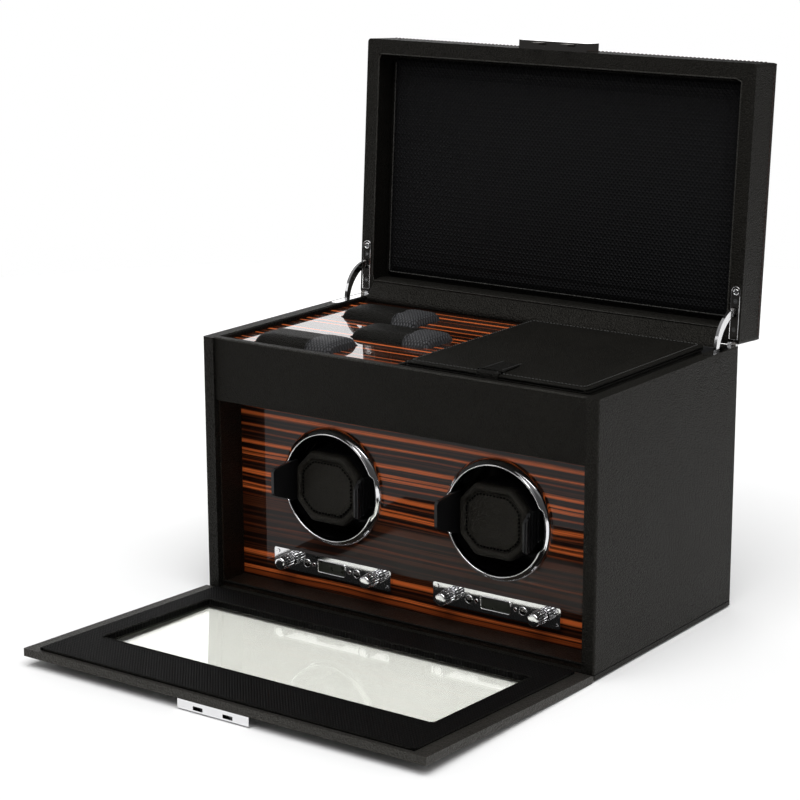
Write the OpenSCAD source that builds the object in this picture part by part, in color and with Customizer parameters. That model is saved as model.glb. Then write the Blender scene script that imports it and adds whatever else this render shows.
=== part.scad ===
// Double watch winder box with storage. Millimetres, +Z up.
// Origin: centre of the felt pad on its underside, where the box stands. The front (glass door side) faces -Y.

/* [Case] */
// outer width of the case
case_w = 360; // [356:1:366]
// outer depth of the case, door not counted
case_d = 207; // [205:1:212]
// height of the case without lid and felt
case_h = 208; // [206:1:214]
// thickness of the side walls
wall_t = 10.5; // [10.5:0.5:12]
// thickness of the back wall
back_t = 9; // [8:0.5:10]
// thickness of the felt pad under the case
felt_t = 1.5; // [1:0.5:2]
// radius of the upright outer edges
edge_r = 2; // [1:0.5:3]

/* [Bay] */
// height of the bay ceiling above the case bottom
bay_top = 158; // [154:1:160]
// height of the bay floor above the case bottom
bay_floor = 8; // [7:0.5:9]
// how far the bay lining stands behind the case front
rebate = 6; // [5:0.5:8]
// how far the ebony panel stands behind the case front
panel_set = 31; // [30:0.5:33]
// thickness of the ebony panel
panel_t = 3; // [3:0.5:4]

/* [Rotors] */
// distance of each rotor axis from the middle
rotor_x = 77; // [76:0.5:78]
// height of the rotor axes above the case bottom
rotor_z = 95.4; // [94:0.2:98]
// outer radius of the rotor cup
cup_r = 44.8; // [44:0.2:45]
// wall of the rotor cup
cup_wall = 2.2; // [1.8:0.1:2.4]
// outer radius of the chrome ring
ring_r = 47.5; // [47:0.1:48]
// how far the chrome ring stands out from the panel
ring_h = 6; // [5:0.1:7]

/* [Cuffs] */
// half height of the octagonal cuff face
cuff_hz = 28.5; // [27.5:0.1:29]
// half width of the octagonal cuff face
cuff_hx = 30.5; // [29:0.1:31]
// how far the side wing reaches in front of the ebony panel
wing_out = 32.5; // [30:0.5:32.5]
// height of the side wing
wing_h = 28; // [26:1:30]
// squeeze travel of the side wing
wing_travel = 2.2; // [1.5:0.1:2.4]

/* [Controls] */
// width of a control plate
plate_w = 114; // [112:1:116]
// height of a control plate
plate_h = 16.6; // [16:0.2:18]
// height of the plate middle above the case bottom
plate_z = 29.3; // [28:0.1:31]
// distance of a knob from the plate middle
knob_x = 41.4; // [40:0.2:43]
// radius of a knob at its base
knob_r = 5.2; // [4.8:0.1:5.4]
// how far a knob stands out from the plate
knob_l = 14; // [11:0.5:15]
// distance of a push button from the plate middle
button_x = 24.2; // [23.5:0.1:26]
// radius of a push button
button_r = 2.6; // [2.4:0.1:2.8]

/* [Top compartment] */
// how far the ebony deck lies below the case top
deck_drop = 4; // [3:0.5:6]
// length of a storage cushion
pillow_l = 76; // [70:1:78]
// width of a storage cushion
pillow_w = 42; // [38:1:44]
// how far a storage cushion stands above the deck
pillow_up = 7.5; // [5:0.5:10]
// how far the travel case stands above the case top
travel_up = 3; // [1:0.5:5]

/* [Lid] */
// thickness of the lid
lid_t = 39; // [31:0.5:40]
// width of the lid rim
lid_rim = 12; // [11:0.5:13]
// depth of the hollow inside the lid, down to its padded lining
lid_hollow = 13.5; // [12:0.5:14]
// how far the lid is open at rest, degrees
lid_open = 93.7; // [90:0.1:96]
// mean radius of the quadrant stays
stay_r = 25; // [24:0.5:26]

/* [Door] */
// thickness of the outer door frame
door_t = 6; // [6:0.1:6.4]
// how far the raised inner panel stands out
door_raise = 2; // [1.6:0.1:2]
// half width of the glass opening
win_hx = 149.5; // [146:0.5:152]
// lower edge of the glass opening above the door's lower edge
win_lo = 36; // [34:0.5:38]
// upper edge of the glass opening above the door's lower edge
win_hi = 158; // [156:0.5:160]
// how far the door is open at rest, degrees
door_open = 87.85; // [80:0.05:87.85]

/* [Hidden] */
$fn = 96;
e = 0.01;
hw = case_w / 2;
hd = case_d / 2;
zb = felt_t;
zt = felt_t + case_h;
xi = hw - wall_t;
z_side = zb + 4.2;
zf = zb + bay_floor;
zc = zb + bay_top;
y_fas = -hd + 2;
y_fasb = y_fas + 6.5;
y_lin = -hd + rebate;
y_pan = -hd + panel_set;
y_panb = y_pan + panel_t;
y_bk = hd - back_t;
rz = zb + rotor_z;
pz = zb + plate_z;
y_pl = y_pan - 3;
cup_in = cup_r - cup_wall;
z_deck = zt - deck_drop;
z_gap = zt + 0.5;
// hinge lines: the lid turns at the upper back edge, the door in its rounded lower edge
lid_y = hd;
lid_z = z_gap;
door_r = door_t / 2;
door_y = -hd - 0.3 - door_r;
door_z = 0.3 + door_r;
door_top = zt;
lid_front = -hd - 6;
stay_x = hw - 5.5;
stay_screw_y = [40.5, 33.5, 11.5];
pillows = [[-108.5, -64.5], [-109.5, 50], [-58, -6.5]];
tc_x0 = 4.5;
tc_x1 = 161.5;
tc_y0 = -hd + 13.5;
tc_y1 = hd - 21.5;
tc_top = zt + travel_up;
tc_split = tc_top - 4.2;
// hinge line of the travel case cover
tc_hy = tc_y1 + 1;
col_leather = [0.09, 0.085, 0.08];
col_wood = [0.55, 0.25, 0.1];
col_chrome = [0.8, 0.8, 0.82];
col_black = [0.03, 0.03, 0.03];
col_felt = [0.05, 0.05, 0.055];
col_board = [0.08, 0.3, 0.15];

module box(x0, x1, y0, y1, z0, z1) translate([x0, y0, z0]) cube([x1 - x0, y1 - y0, z1 - z0]);
module rrect(w, d, r) {
  square([w - 2 * r, d], center = true);
  square([w, d - 2 * r], center = true);
  for (x = [-1, 1], y = [-1, 1]) translate([x * (w / 2 - r), y * (d / 2 - r)]) circle(r);
}
// rectangle whose two upper corners are rounded, standing on y = 0
module tombstone(w, h, r) {
  translate([-w / 2, 0]) square([w, h - r]);
  translate([-w / 2 + r, 0]) square([w - 2 * r, h]);
  for (x = [-1, 1]) translate([x * (w / 2 - r), h - r]) circle(r);
}
// block with rounded upright edges and rounded upper edges, standing on z = 0
module soft_block(w, d, h, r_plan, r_top) {
  intersection() {
    linear_extrude(h) rrect(w, d, r_plan);
    translate([0, d / 2, 0]) rotate([90, 0, 0]) linear_extrude(d) tombstone(w, h, r_top);
    translate([-w / 2, 0, 0]) rotate([90, 0, 90]) linear_extrude(w) tombstone(d, h, r_top);
  }
}
// cylinder along Y from y0 to y1
module ycyl(r, y0, y1) translate([0, y1, 0]) rotate([90, 0, 0]) cylinder(h = y1 - y0, r = r);
// cylinder along X from x0 to x1
module xcyl(r, x0, x1) translate([x0, 0, 0]) rotate([0, 90, 0]) cylinder(h = x1 - x0, r = r);
// slice of a ring about the lid hinge line; angles count from +Y over +Z
module ring_slice(x0, x1, r0, r1, a0, a1)
  translate([x0, lid_y, lid_z]) rotate([90, 0, 90]) linear_extrude(x1 - x0) difference() {
    intersection() {
      circle(r1);
      polygon([[0, 0], 60 * [cos(a0), sin(a0)], 60 * [cos((2 * a0 + a1) / 3), sin((2 * a0 + a1) / 3)],
               60 * [cos((a0 + 2 * a1) / 3), sin((a0 + 2 * a1) / 3)], 60 * [cos(a1), sin(a1)]]);
    }
    circle(r0);
  }
module lid_pose() translate([0, lid_y, lid_z]) rotate([-lid_open, 0, 0]) translate([0, -lid_y, -lid_z]) children();
module door_pose() translate([0, door_y, door_z]) rotate([door_open, 0, 0]) translate([0, -door_y, -door_z]) children();
module both() { children(); mirror([1, 0, 0]) children(); }
module rotor_at(s) translate([s * rotor_x, 0, rz]) children();
module plate_at(s) translate([s * rotor_x, 0, pz]) children();

// ---------------------------------------------------------------- case
module base_felt() color(col_felt) box(-hw + 12, hw - 12, -hd + 12, hd - 12, 0, zb);

module base_board() color(col_leather) difference() {
  union() {
    translate([0, 0, zb]) linear_extrude(3.6) rrect(case_w, case_d, edge_r);
    translate([0, 0, zb]) linear_extrude(4.2) rrect(case_w - 2, case_d - 2, edge_r);
  }
  // mortises of the two door hinges
  for (s = [-1, 1]) translate([s * 110, 0, 0]) box(-3.6, 3.6, -hd - 1, -hd + 8.6, door_z - 0.65, door_z + 0.65);
}

module side_left() color(col_leather) difference() {
  intersection() {
    translate([0, 0, z_side]) linear_extrude(zt - z_side) rrect(case_w, case_d, edge_r);
    box(-hw, -xi, -hd, hd, z_side, zt);
  }
  // seat of the stay leaf, its knuckle, its screws and the path of the arm
  box(-stay_x - 4.1, -stay_x + 4.1, hd - 41, hd - 2.3, zt - 1.25, zt + 1);
  translate([-stay_x, hd - 41, zt - 1.25]) cylinder(h = 3, r = 4.1, $fn = 48);
  translate([0, lid_y, lid_z]) xcyl(2.8, -stay_x - 4.3, -stay_x + 4.3);
  for (y = stay_screw_y) translate([-stay_x, hd - y, zt - 7.2]) cylinder(h = 8, r = 1.05, $fn = 24);
  ring_slice(-stay_x - 1.6, -stay_x + 1.6, stay_r - 3.8, stay_r + 3.8, 178, 233);
}
module side_right() color(col_leather) mirror([1, 0, 0]) side_left();

module back_panel() color(col_leather) difference() {
  box(-xi, xi, y_bk, hd, z_side, zt);
  box(-65, 65, y_bk - 1, hd + 1, 40, 110);
  box(-75.1, 75.1, hd - 2.05, hd + 1, 29.9, 120.1);
  translate([130, 0, 32]) ycyl(5.6, y_bk - 1, hd + 1);
}

module fascia() color(col_leather) box(-xi, xi, y_fas, y_fasb, zc, zt);

module bay_liner() color([0.1, 0.07, 0.05]) {
  box(-xi, xi, y_lin, y_panb + 10, z_side, zf);
  both() box(xi - 1.5, xi, y_lin, y_pan - 0.1, zf + 0.05, zc - 0.1);
}

module winder_panel() color(col_wood) difference() {
  box(-xi + 0.2, xi - 0.2, y_pan, y_panb, zf, zc - 0.1);
  for (s = [-1, 1]) {
    rotor_at(s) ycyl(cup_r + 0.8, y_pan - 1, y_panb + 1);
    plate_at(s) {
      for (x = [-1, 1]) {
        translate([x * knob_x, 0, 0]) ycyl(3.6, y_pan - 1, y_panb + 1, $fn = 48);
        translate([x * button_x, 0, 0]) ycyl(4.2, y_pan - 1, y_panb + 1, $fn = 48);
        translate([x * 17.5, 0, 0]) ycyl(1.4, y_pan - 1, y_panb + 1, $fn = 24);
        for (z = [-1, 1]) translate([x * (plate_w / 2 - 3.6), 0, z * (plate_h / 2 - 2.9)]) ycyl(0.9, y_pan - 1, y_panb + 1, $fn = 24);
      }
      box(-13.4, 13.4, y_pan - 1, y_panb + 1, -5, 5);
    }
  }
}

module shelf() color(col_leather) box(-xi, xi, y_fasb, y_bk, zc, zc + 4);

module deck() color(col_wood) difference() {
  box(-xi, -1, y_fasb, y_bk, z_deck - 4, z_deck);
  for (p = pillows) translate([p[0], p[1], z_deck - 5]) linear_extrude(6) rrect(pillow_l + 1.4, pillow_w + 1.4, 8.7);
}

module pocket_cups() color(col_felt) for (p = pillows) translate([p[0], p[1], zc + 6]) difference() {
  linear_extrude(z_deck - 4.1 - zc - 6) square([pillow_l + 4.4, pillow_w + 4.4], center = true);
  translate([0, 0, 1.5]) linear_extrude(60) square([pillow_l + 1.4, pillow_w + 1.4], center = true);
}

module well_liner() color(col_felt) difference() {
  box(-0.8, xi - 0.1, y_fasb + 0.1, y_bk - 0.1, zc + 4, zt - 1.5);
  box(0.5, xi - 1.5, y_fasb + 1.3, y_bk - 1.3, zc + 5.5, zt + 1);
}

module motor_bracket() color([0.6, 0.62, 0.65]) difference() {
  union() {
    box(-150, 150, -7, -4, z_side, zf + 140);
    box(-150, 150, -4, 30, z_side, z_side + 3);
  }
  for (s = [-1, 1]) rotor_at(s) ycyl(5, -8, 0, $fn = 48);
}

module motors() color([0.25, 0.26, 0.28]) for (s = [-1, 1]) rotor_at(s) difference() {
  union() {
    box(-19, 19, -4, 14, -19, 19);
    ycyl(14, 14, 44);
  }
  ycyl(3.05, -5, 13, $fn = 64);
}

module pcbs() color(col_board) for (s = [-1, 1]) plate_at(s) {
  box(-54, 54, -60.4, -58.8, -12, 12);
  for (x = [-1, 1], z = [-1, 1]) translate([x * 50, 0, z * 9]) ycyl(2.5, y_panb, -60.2, $fn = 32);
  for (x = [-1, 1]) {
    translate([x * knob_x, 0, 0]) box(-5.5, 5.5, -65.4, -60.4, -5.5, 5.5);
    translate([x * button_x, 0, 0]) box(-3, 3, -64.4, -60.4, -3, 3);
  }
}

module control_plate(s) color(col_chrome) plate_at(s) difference() {
  translate([0, y_pan, 0]) rotate([90, 0, 0]) linear_extrude(3) rrect(plate_w, plate_h, 1.6);
  box(-12.8, 12.8, y_pl - 1, y_pan + 1, -4.5, 4.5);
  for (x = [-1, 1]) {
    translate([x * knob_x, 0, 0]) ycyl(3.05, y_pl - 1, y_pan + 1, $fn = 64);
    translate([x * button_x, 0, 0]) ycyl(button_r + 0.06, y_pl - 1, y_pan + 1, $fn = 48);
    translate([x * 17.5, 0, 0]) ycyl(1.15, y_pl - 1, y_pan + 1, $fn = 24);
    for (z = [-1, 1]) translate([x * (plate_w / 2 - 3.6), 0, z * (plate_h / 2 - 2.9)]) ycyl(0.85, y_pl - 1, y_pan + 1, $fn = 24);
  }
}
module control_plate_left() control_plate(-1);
module control_plate_right() control_plate(1);

module lcd_windows() color([0.25, 0.28, 0.22]) for (s = [-1, 1]) plate_at(s) box(-12.7, 12.7, y_pl + 0.3, -60.4, -4.4, 4.4);

module status_leds() color([0.8, 0.2, 0.1]) for (s = [-1, 1], x = [-1, 1]) plate_at(s) translate([x * 17.5, 0, 0]) ycyl(1.1, y_pl - 0.4, -60.4, $fn = 24);

module plate_screws() color(col_chrome) for (s = [-1, 1], x = [-1, 1], z = [-1, 1]) plate_at(s)
  translate([x * (plate_w / 2 - 3.6), 0, z * (plate_h / 2 - 2.9)]) {
    ycyl(0.8, y_pl - 0.1, y_pan + 2.5, $fn = 24);
    difference() {
      ycyl(1.6, y_pl - 0.7, y_pl, $fn = 32);
      box(-1.2, 1.2, y_pl - 1, y_pl - 0.35, -0.2, 0.2);
    }
  }

module dc_jack() color(col_black) translate([130, 0, 32]) difference() {
  union() {
    ycyl(5.5, y_bk - 6, hd + 0.5, $fn = 64);
    ycyl(7.5, hd, hd + 1.2, $fn = 64);
  }
  difference() {
    ycyl(3.2, hd - 9, hd + 2, $fn = 48);
    ycyl(1, hd - 10, hd - 1, $fn = 32);
  }
}

module service_cover() color(col_black) difference() {
  box(-75, 75, hd - 2, hd, 30, 120);
  for (i = [0 : 7]) box(-42 + i * 12, -38 + i * 12, hd - 3, hd + 1, 60, 95);
}

module stay_leaf() difference() {
  union() {
    box(stay_x - 4, stay_x + 4, hd - 41, hd - 2.7, zt - 1.2, zt);
    translate([stay_x, hd - 41, zt - 1.2]) cylinder(h = 1.2, r = 4, $fn = 48);
    box(stay_x - 3.5, stay_x - 0.2, hd - 3, hd, zt - 1.2, zt);
    translate([0, lid_y, lid_z]) {
      xcyl(2.2, stay_x - 3.5, stay_x - 0.2, $fn = 48);
      xcyl(0.9, stay_x - 3.5, stay_x + 3.6, $fn = 48);
    }
  }
  box(stay_x - 1.6, stay_x + 1.6, hd - stay_r - 3.8, hd - stay_r + 3.8, zt - 3, zt + 1);
  for (y = stay_screw_y) translate([stay_x, hd - y, zt - 3]) cylinder(h = 5, r = 2, $fn = 32);
}
module stay_leaves() color(col_chrome) both() stay_leaf();

module stay_screws() color(col_chrome) both() for (y = stay_screw_y) translate([stay_x, hd - y, 0]) difference() {
  union() {
    translate([0, 0, zt - 1.2]) cylinder(h = 1.2, r = 1.9, $fn = 32);
    translate([0, 0, zt - 7]) cylinder(h = 6, r = 1, $fn = 24);
  }
  box(-1.5, 1.5, -0.25, 0.25, zt - 0.4, zt + 1);
}

// case halves of the two door hinges, with their pins
module door_hinges() color(col_black) for (s = [-1, 1]) translate([s * 110, 0, 0]) {
  difference() {
    box(-3.5, 3.5, door_y, -hd + 8.5, door_z - 0.6, door_z + 0.6);
    translate([0, door_y, door_z]) xcyl(1.5, -4, 4, $fn = 48);
  }
  translate([0, door_y, door_z]) {
    xcyl(2, -3.5, 3.5, $fn = 48);
    xcyl(0.9, -10, 10, $fn = 48);
  }
}

// ---------------------------------------------------------------- lid, drawn closed and turned open
module lid_shell() color(col_leather) lid_pose() difference() {
  translate([0, (lid_front + hd) / 2, lid_z]) soft_block(case_w, hd - lid_front, lid_t, edge_r + 1, 8);
  box(-hw + lid_rim, hw - lid_rim, lid_front + lid_rim, hd - lid_rim, lid_z - 1, lid_z + lid_hollow + 7);
  both() {
    box(stay_x - 4.1, stay_x + 4.1, hd - 41, hd - 2.3, lid_z - 1, lid_z + 1.25);
    translate([stay_x, hd - 41, lid_z - 1]) cylinder(h = 2.25, r = 4.1, $fn = 48);
    translate([0, lid_y, lid_z]) xcyl(2.8, stay_x - 4.3, stay_x + 4.3);
    for (y = stay_screw_y) translate([stay_x, hd - y, lid_z - 1]) cylinder(h = 8.2, r = 1.05, $fn = 24);
    ring_slice(stay_x - 1.6, stay_x + 1.6, stay_r - 3.8, stay_r + 3.8, 127, 182);
  }
}

module lid_pad() color(col_leather) lid_pose()
  box(-hw + lid_rim + 6, hw - lid_rim - 6, lid_front + lid_rim + 3.5, hd - lid_rim - 4.5, lid_z + lid_hollow, lid_z + lid_hollow + 7);

module lid_latch() color(col_chrome) lid_pose() {
  box(-31.5, 31.5, lid_front - 6.8, lid_front, lid_z + 0.4, lid_z + 18.4);
  for (s = [-1, 1]) {
    box(s * 13.4 - 4, s * 13.4 + 4, lid_front - 5.5, lid_front - 4.1, lid_z - 5.5, lid_z + 0.5);
    box(s * 13.4 - 4, s * 13.4 + 4, lid_front - 4.2, lid_front - 3.5, lid_z - 5.5, lid_z - 4.1);
  }
}

module lid_leaf() difference() {
  union() {
    box(stay_x - 4, stay_x + 4, hd - 41, hd - 2.7, lid_z, lid_z + 1.2);
    translate([stay_x, hd - 41, lid_z]) cylinder(h = 1.2, r = 4, $fn = 48);
    box(stay_x + 0.2, stay_x + 3.5, hd - 3, hd, lid_z, lid_z + 1.2);
    translate([0, lid_y, lid_z]) xcyl(2.2, stay_x + 0.2, stay_x + 3.5, $fn = 48);
  }
  translate([0, lid_y, lid_z]) xcyl(0.95, stay_x - 5, stay_x + 5, $fn = 48);
  box(stay_x - 1.6, stay_x + 1.6, hd - stay_r - 3.8, hd - stay_r + 3.8, lid_z - 1, lid_z + 3);
  for (y = stay_screw_y) translate([stay_x, hd - y, lid_z - 1]) cylinder(h = 5, r = 2, $fn = 32);
}
module lid_leaves() color(col_chrome) lid_pose() both() lid_leaf();

module lid_screws() color(col_chrome) lid_pose() both() for (y = stay_screw_y) translate([stay_x, hd - y, 0]) difference() {
  union() {
    translate([0, 0, lid_z]) cylinder(h = 1.2, r = 1.9, $fn = 32);
    translate([0, 0, lid_z + 1]) cylinder(h = 6, r = 1, $fn = 24);
  }
  box(-1.5, 1.5, -0.25, 0.25, lid_z - 1, lid_z + 0.4);
}

// quadrant stay: half way between case and lid at every opening
module stay_arm() {
  m = (180 - lid_open + 180) / 2;
  a0 = m - lid_open / 2 - 3;
  a1 = m + lid_open / 2 + 3;
  translate([stay_x - 1.2, lid_y, lid_z]) rotate([90, 0, 90]) linear_extrude(2.4) difference() {
    intersection() {
      circle(stay_r + 3.2);
      polygon([[0, 0], 60 * [cos(a0), sin(a0)], 60 * [cos((2 * a0 + a1) / 3), sin((2 * a0 + a1) / 3)],
               60 * [cos((a0 + 2 * a1) / 3), sin((a0 + 2 * a1) / 3)], 60 * [cos(a1), sin(a1)]]);
    }
    translate(-9.5 * [cos(m), sin(m)]) circle(stay_r + 6.3);
  }
}
module stay_arm_left() color(col_chrome) mirror([1, 0, 0]) stay_arm();
module stay_arm_right() color(col_chrome) stay_arm();

// ---------------------------------------------------------------- door, drawn shut and turned open
module door_blank(x, z0, z1, y0, y1) box(-x, x, y0, y1, z0, z1);
module door_frame() color(col_leather) door_pose() difference() {
  union() {
    box(-hw, hw, door_y - door_r, door_y + door_r, door_z, door_top);
    translate([0, door_y, door_z]) xcyl(door_r, -hw, hw);
  }
  box(-win_hx, win_hx, door_y - 9, door_y + 9, 0.3 + win_lo, 0.3 + win_hi);
  box(-win_hx - 3, win_hx + 3, door_y - door_r + 0.6, door_y + 9, 0.3 + win_lo - 3, 0.3 + win_hi + 3);
  // hinge notches and mortises
  for (s = [-1, 1]) translate([s * 110, 0, 0]) {
    box(-11, 11, door_y - 9, door_y + 9, -3, door_z + 2.7);
    box(-10.6, -3.7, door_y - 0.65, door_y + 0.65, -3, door_z + 15.1);
    box(3.7, 10.6, door_y - 0.65, door_y + 0.65, -3, door_z + 15.1);
  }
}

module door_panel() color(col_leather) door_pose() difference() {
  union() {
    box(-xi + 2, xi - 2, door_y + door_r, door_y + door_r + door_raise, z_side + 0.6, door_top - 4.2);
    box(-win_hx - 2.9, win_hx + 2.9, door_y - door_r + 3.4, door_y + door_r + 0.1, 0.3 + win_lo - 2.9, 0.3 + win_hi + 2.9);
  }
  box(-win_hx, win_hx, door_y - 9, door_y + 9, 0.3 + win_lo, 0.3 + win_hi);
}

module door_glass() color([0.9, 0.92, 0.92, 0.3]) door_pose()
  box(-win_hx - 2.8, win_hx + 2.8, door_y - door_r + 0.7, door_y - door_r + 3.3, 0.3 + win_lo - 2.8, 0.3 + win_hi + 2.8);

module door_latch() color(col_chrome) door_pose() difference() {
  box(-32, 32, door_y - door_r - 6.8, door_y - door_r, door_top - 18, door_top + 0.2);
  for (s = [-1, 1]) box(s * 13.4 - 4.4, s * 13.4 + 4.4, lid_front - 6, lid_front - 3.1, door_top - 9, door_top + 1);
}

module door_leaves() color(col_black) door_pose() for (s = [-1, 1]) translate([s * 110, 0, 0]) difference() {
  union() for (x = [-10.5, 3.8]) {
    box(x, x + 6.7, door_y - 0.6, door_y + 0.6, door_z, door_z + 15);
    translate([0, door_y, door_z]) xcyl(2, x, x + 6.7, $fn = 48);
  }
  translate([0, door_y, door_z]) xcyl(0.95, -12, 12, $fn = 48);
}

// ---------------------------------------------------------------- rotors
module cup(s) color(col_black) rotor_at(s) {
  difference() {
    ycyl(cup_r, y_pan - 3, -17, $fn = 128);
    ycyl(cup_in, y_pan - 4, -20, $fn = 128);
  }
  ycyl(8, -17.5, -8.5, $fn = 64);
  ycyl(3, -9, 12, $fn = 64);
}
module cup_left() cup(-1);
module cup_right() cup(1);

module ring(s) color(col_chrome) rotor_at(s) difference() {
  rotate([90, 0, 0]) rotate_extrude($fn = 128) polygon([
    [cup_r + 0.1, -y_pan + 0.4], [ring_r, -y_pan + 0.4], [ring_r, -y_pan + 1.7],
    [cup_r - 1, -y_pan + ring_h], [cup_in, -y_pan + ring_h], [cup_in, -y_pan + 3.1], [cup_r + 0.1, -y_pan + 3.1]]);
  box(-60, 60, y_pan - ring_h - 1, y_pan - ring_h + 1.9, -wing_h / 2 - 0.8, wing_h / 2 + 0.8);
}
module ring_left() ring(-1);
module ring_right() ring(1);

// ---------------------------------------------------------------- winder cuffs
module octagon(hx, hz) polygon([[-16, -hz], [16, -hz], [hx, -13.5], [hx, 13.5], [16, hz], [-16, hz], [-hx, 13.5], [-hx, -13.5]]);
module xprism(x0, x1) translate([x0, 0, 0]) rotate([90, 0, 90]) linear_extrude(x1 - x0) children();
module yprism(y0, y1) translate([0, y1, 0]) rotate([90, 0, 0]) linear_extrude(y1 - y0) children();
// side outlines of the cuff's two ends, drawn in Y and Z
module fixed_plate() polygon([[y_pan + 23, -12], [y_pan + 23, 12], [y_pan - 1, 12], [y_pan - 5, wing_h / 2], [y_pan - 9, 12.5], [y_pan - 15.5, 6.8],
  [y_pan - 15.5, -15.5], [y_pan - 13.5, -17.4], [y_pan - 8, -17], [y_pan - 3.5, -wing_h / 2], [y_pan - 1, -12]]);
module wing_plate() polygon([[-50, -11], [-50, 11], [y_pan - 0.6, 11], [y_pan - 1.6, 17.4], [y_pan - 12, 17.4], [y_pan - wing_out + 2.2, 15.8],
  [y_pan - wing_out, 13.6], [y_pan - wing_out, -3.4], [y_pan - wing_out + 2.2, -5.8], [y_pan - 9, -wing_h / 2], [y_pan - 1.6, -wing_h / 2 - 1], [y_pan - 0.6, -11]]);
module cuff_core(s) color(col_black) rotor_at(s) difference() {
  union() {
    yprism(y_pan - 0.7, -20.3) octagon(cuff_hx - 1, cuff_hz - 1);
    box(cuff_hx - 1.5, cuff_hx + 2.5, y_pan - 0.7, y_pan + 23, -wing_h / 2 + 2, wing_h / 2 - 2);
    xprism(cuff_hx + 0.7, cuff_hx + 2.5) fixed_plate();
    // upright ribs for the thumb
    for (i = [0 : 6]) intersection() {
      xprism(cuff_hx + 1.5, cuff_hx + 4.1 - 0.4 * (i % 2)) fixed_plate();
      box(cuff_hx, cuff_hx + 9, y_pan - 14.5 + i * 4, y_pan - 12.5 + i * 4, -20, 20);
    }
  }
  box(-cuff_hx - 1, -cuff_hx + 14, -60.4, -53.6, -5.4, 5.4);
}
module cuff_core_left() cuff_core(-1);
module cuff_core_right() cuff_core(1);

module cuff_pad(s) color(col_leather) rotor_at(s) yprism(y_pan - 9, y_pan - 0.8) octagon(cuff_hx, cuff_hz);
module cuff_pad_left() cuff_pad(-1);
module cuff_pad_right() cuff_pad(1);

module cuff_wing(s) color(col_black) rotor_at(s) {
  xprism(-cuff_hx - 5, -cuff_hx - 2.5) wing_plate();
  box(-cuff_hx - 3, -cuff_hx + 9, -60, -54, -5, 5);
}
module cuff_wing_left() cuff_wing(-1);
module cuff_wing_right() cuff_wing(1);

// ---------------------------------------------------------------- knobs and buttons
module knob(s, x) color(col_chrome) plate_at(s) translate([x * knob_x, 0, 0]) {
  ycyl(knob_r, y_pl - knob_l / 2, y_pl - 0.3, $fn = 64);
  ycyl(knob_r - 0.8, y_pl - knob_l, y_pl - knob_l / 2 + 0.1, $fn = 64);
  ycyl(3, y_pl - 1, -66, $fn = 64);
}
module knob_1() knob(-1, -1);
module knob_2() knob(-1, 1);
module knob_3() knob(1, -1);
module knob_4() knob(1, 1);

module button(s, x) color(col_chrome) plate_at(s) translate([x * button_x, 0, 0]) {
  ycyl(button_r, y_pl - 1.2, -65.9, $fn = 48);
  ycyl(3.6, y_pan + 0.2, y_pan + 1.2, $fn = 48);
}
module button_1() button(-1, -1);
module button_2() button(-1, 1);
module button_3() button(1, -1);
module button_4() button(1, 1);

// ---------------------------------------------------------------- storage cushions and travel case
module pillow(i) color(col_leather) translate([pillows[i][0], pillows[i][1], zc + 7.8])
  soft_block(pillow_l, pillow_w, z_deck + pillow_up - zc - 7.8, 8, 7);
module pillow_1() pillow(0);
module pillow_2() pillow(1);
module pillow_3() pillow(2);

module travel_tray() color(col_leather) {
  difference() {
    translate([(tc_x0 + tc_x1) / 2, (tc_y0 + tc_y1) / 2, zc + 6]) linear_extrude(tc_split - 0.3 - zc - 6) rrect(tc_x1 - tc_x0, tc_y1 - tc_y0, 5);
    box(tc_x0 + 4, tc_x1 - 4, tc_y0 + 4, tc_y1 - 4, zc + 10, zt + 20);
  }
  for (x = [tc_x0 + 8, tc_x1 - 22]) {
    translate([0, tc_hy, tc_split]) xcyl(0.8, x, x + 14, $fn = 32);
    box(x, x + 14, tc_y1 - 1, tc_hy, tc_split - 0.8, tc_split - 0.3);
  }
}

module travel_lid() color(col_leather) {
  translate([(tc_x0 + tc_x1) / 2, (tc_y0 + tc_y1) / 2, tc_split]) linear_extrude(4.2) rrect(tc_x1 - tc_x0, tc_y1 - tc_y0, 5);
  // hinge roll along the back edge
  translate([0, tc_hy, tc_split]) xcyl(0.8, tc_x0 + 22.3, tc_x1 - 22.3, $fn = 32);
  box(tc_x0 + 22.3, tc_x1 - 22.3, tc_y1 - 1, tc_hy, tc_split, tc_split + 0.8);
  // closing strap over the front edge
  translate([(tc_x0 + tc_x1) / 2 - 5, 0, 0]) {
    translate([0, tc_y0 + 17, tc_top - 0.01]) linear_extrude(1.51) rrect(22, 36, 6);
    box(-9, 9, tc_y0 - 1.8, tc_y0 - 0.3, tc_split - 14, tc_top + 1.5);
    box(-9, 9, tc_y0 - 1.8, tc_y0 + 0.1, tc_split, tc_top + 1.5);
  }
}

base_felt();
base_board();
side_left();
side_right();
back_panel();
fascia();
bay_liner();
winder_panel();
shelf();
deck();
pocket_cups();
well_liner();
motor_bracket();
motors();
pcbs();
control_plate_left();
control_plate_right();
lcd_windows();
status_leds();
plate_screws();
dc_jack();
service_cover();
stay_leaves();
stay_screws();
door_hinges();
lid_shell();
lid_pad();
lid_latch();
lid_leaves();
lid_screws();
stay_arm_left();
stay_arm_right();
door_frame();
door_panel();
door_glass();
door_latch();
door_leaves();
cup_left();
ring_left();
cup_right();
ring_right();
cuff_core_left();
cuff_pad_left();
cuff_wing_left();
cuff_core_right();
cuff_pad_right();
cuff_wing_right();
knob_1();
knob_2();
knob_3();
knob_4();
button_1();
button_2();
button_3();
button_4();
pillow_1();
pillow_2();
pillow_3();
travel_tray();
travel_lid();
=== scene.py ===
import bpy, bmesh, math
import numpy as np
from mathutils import Vector, Matrix

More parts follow.
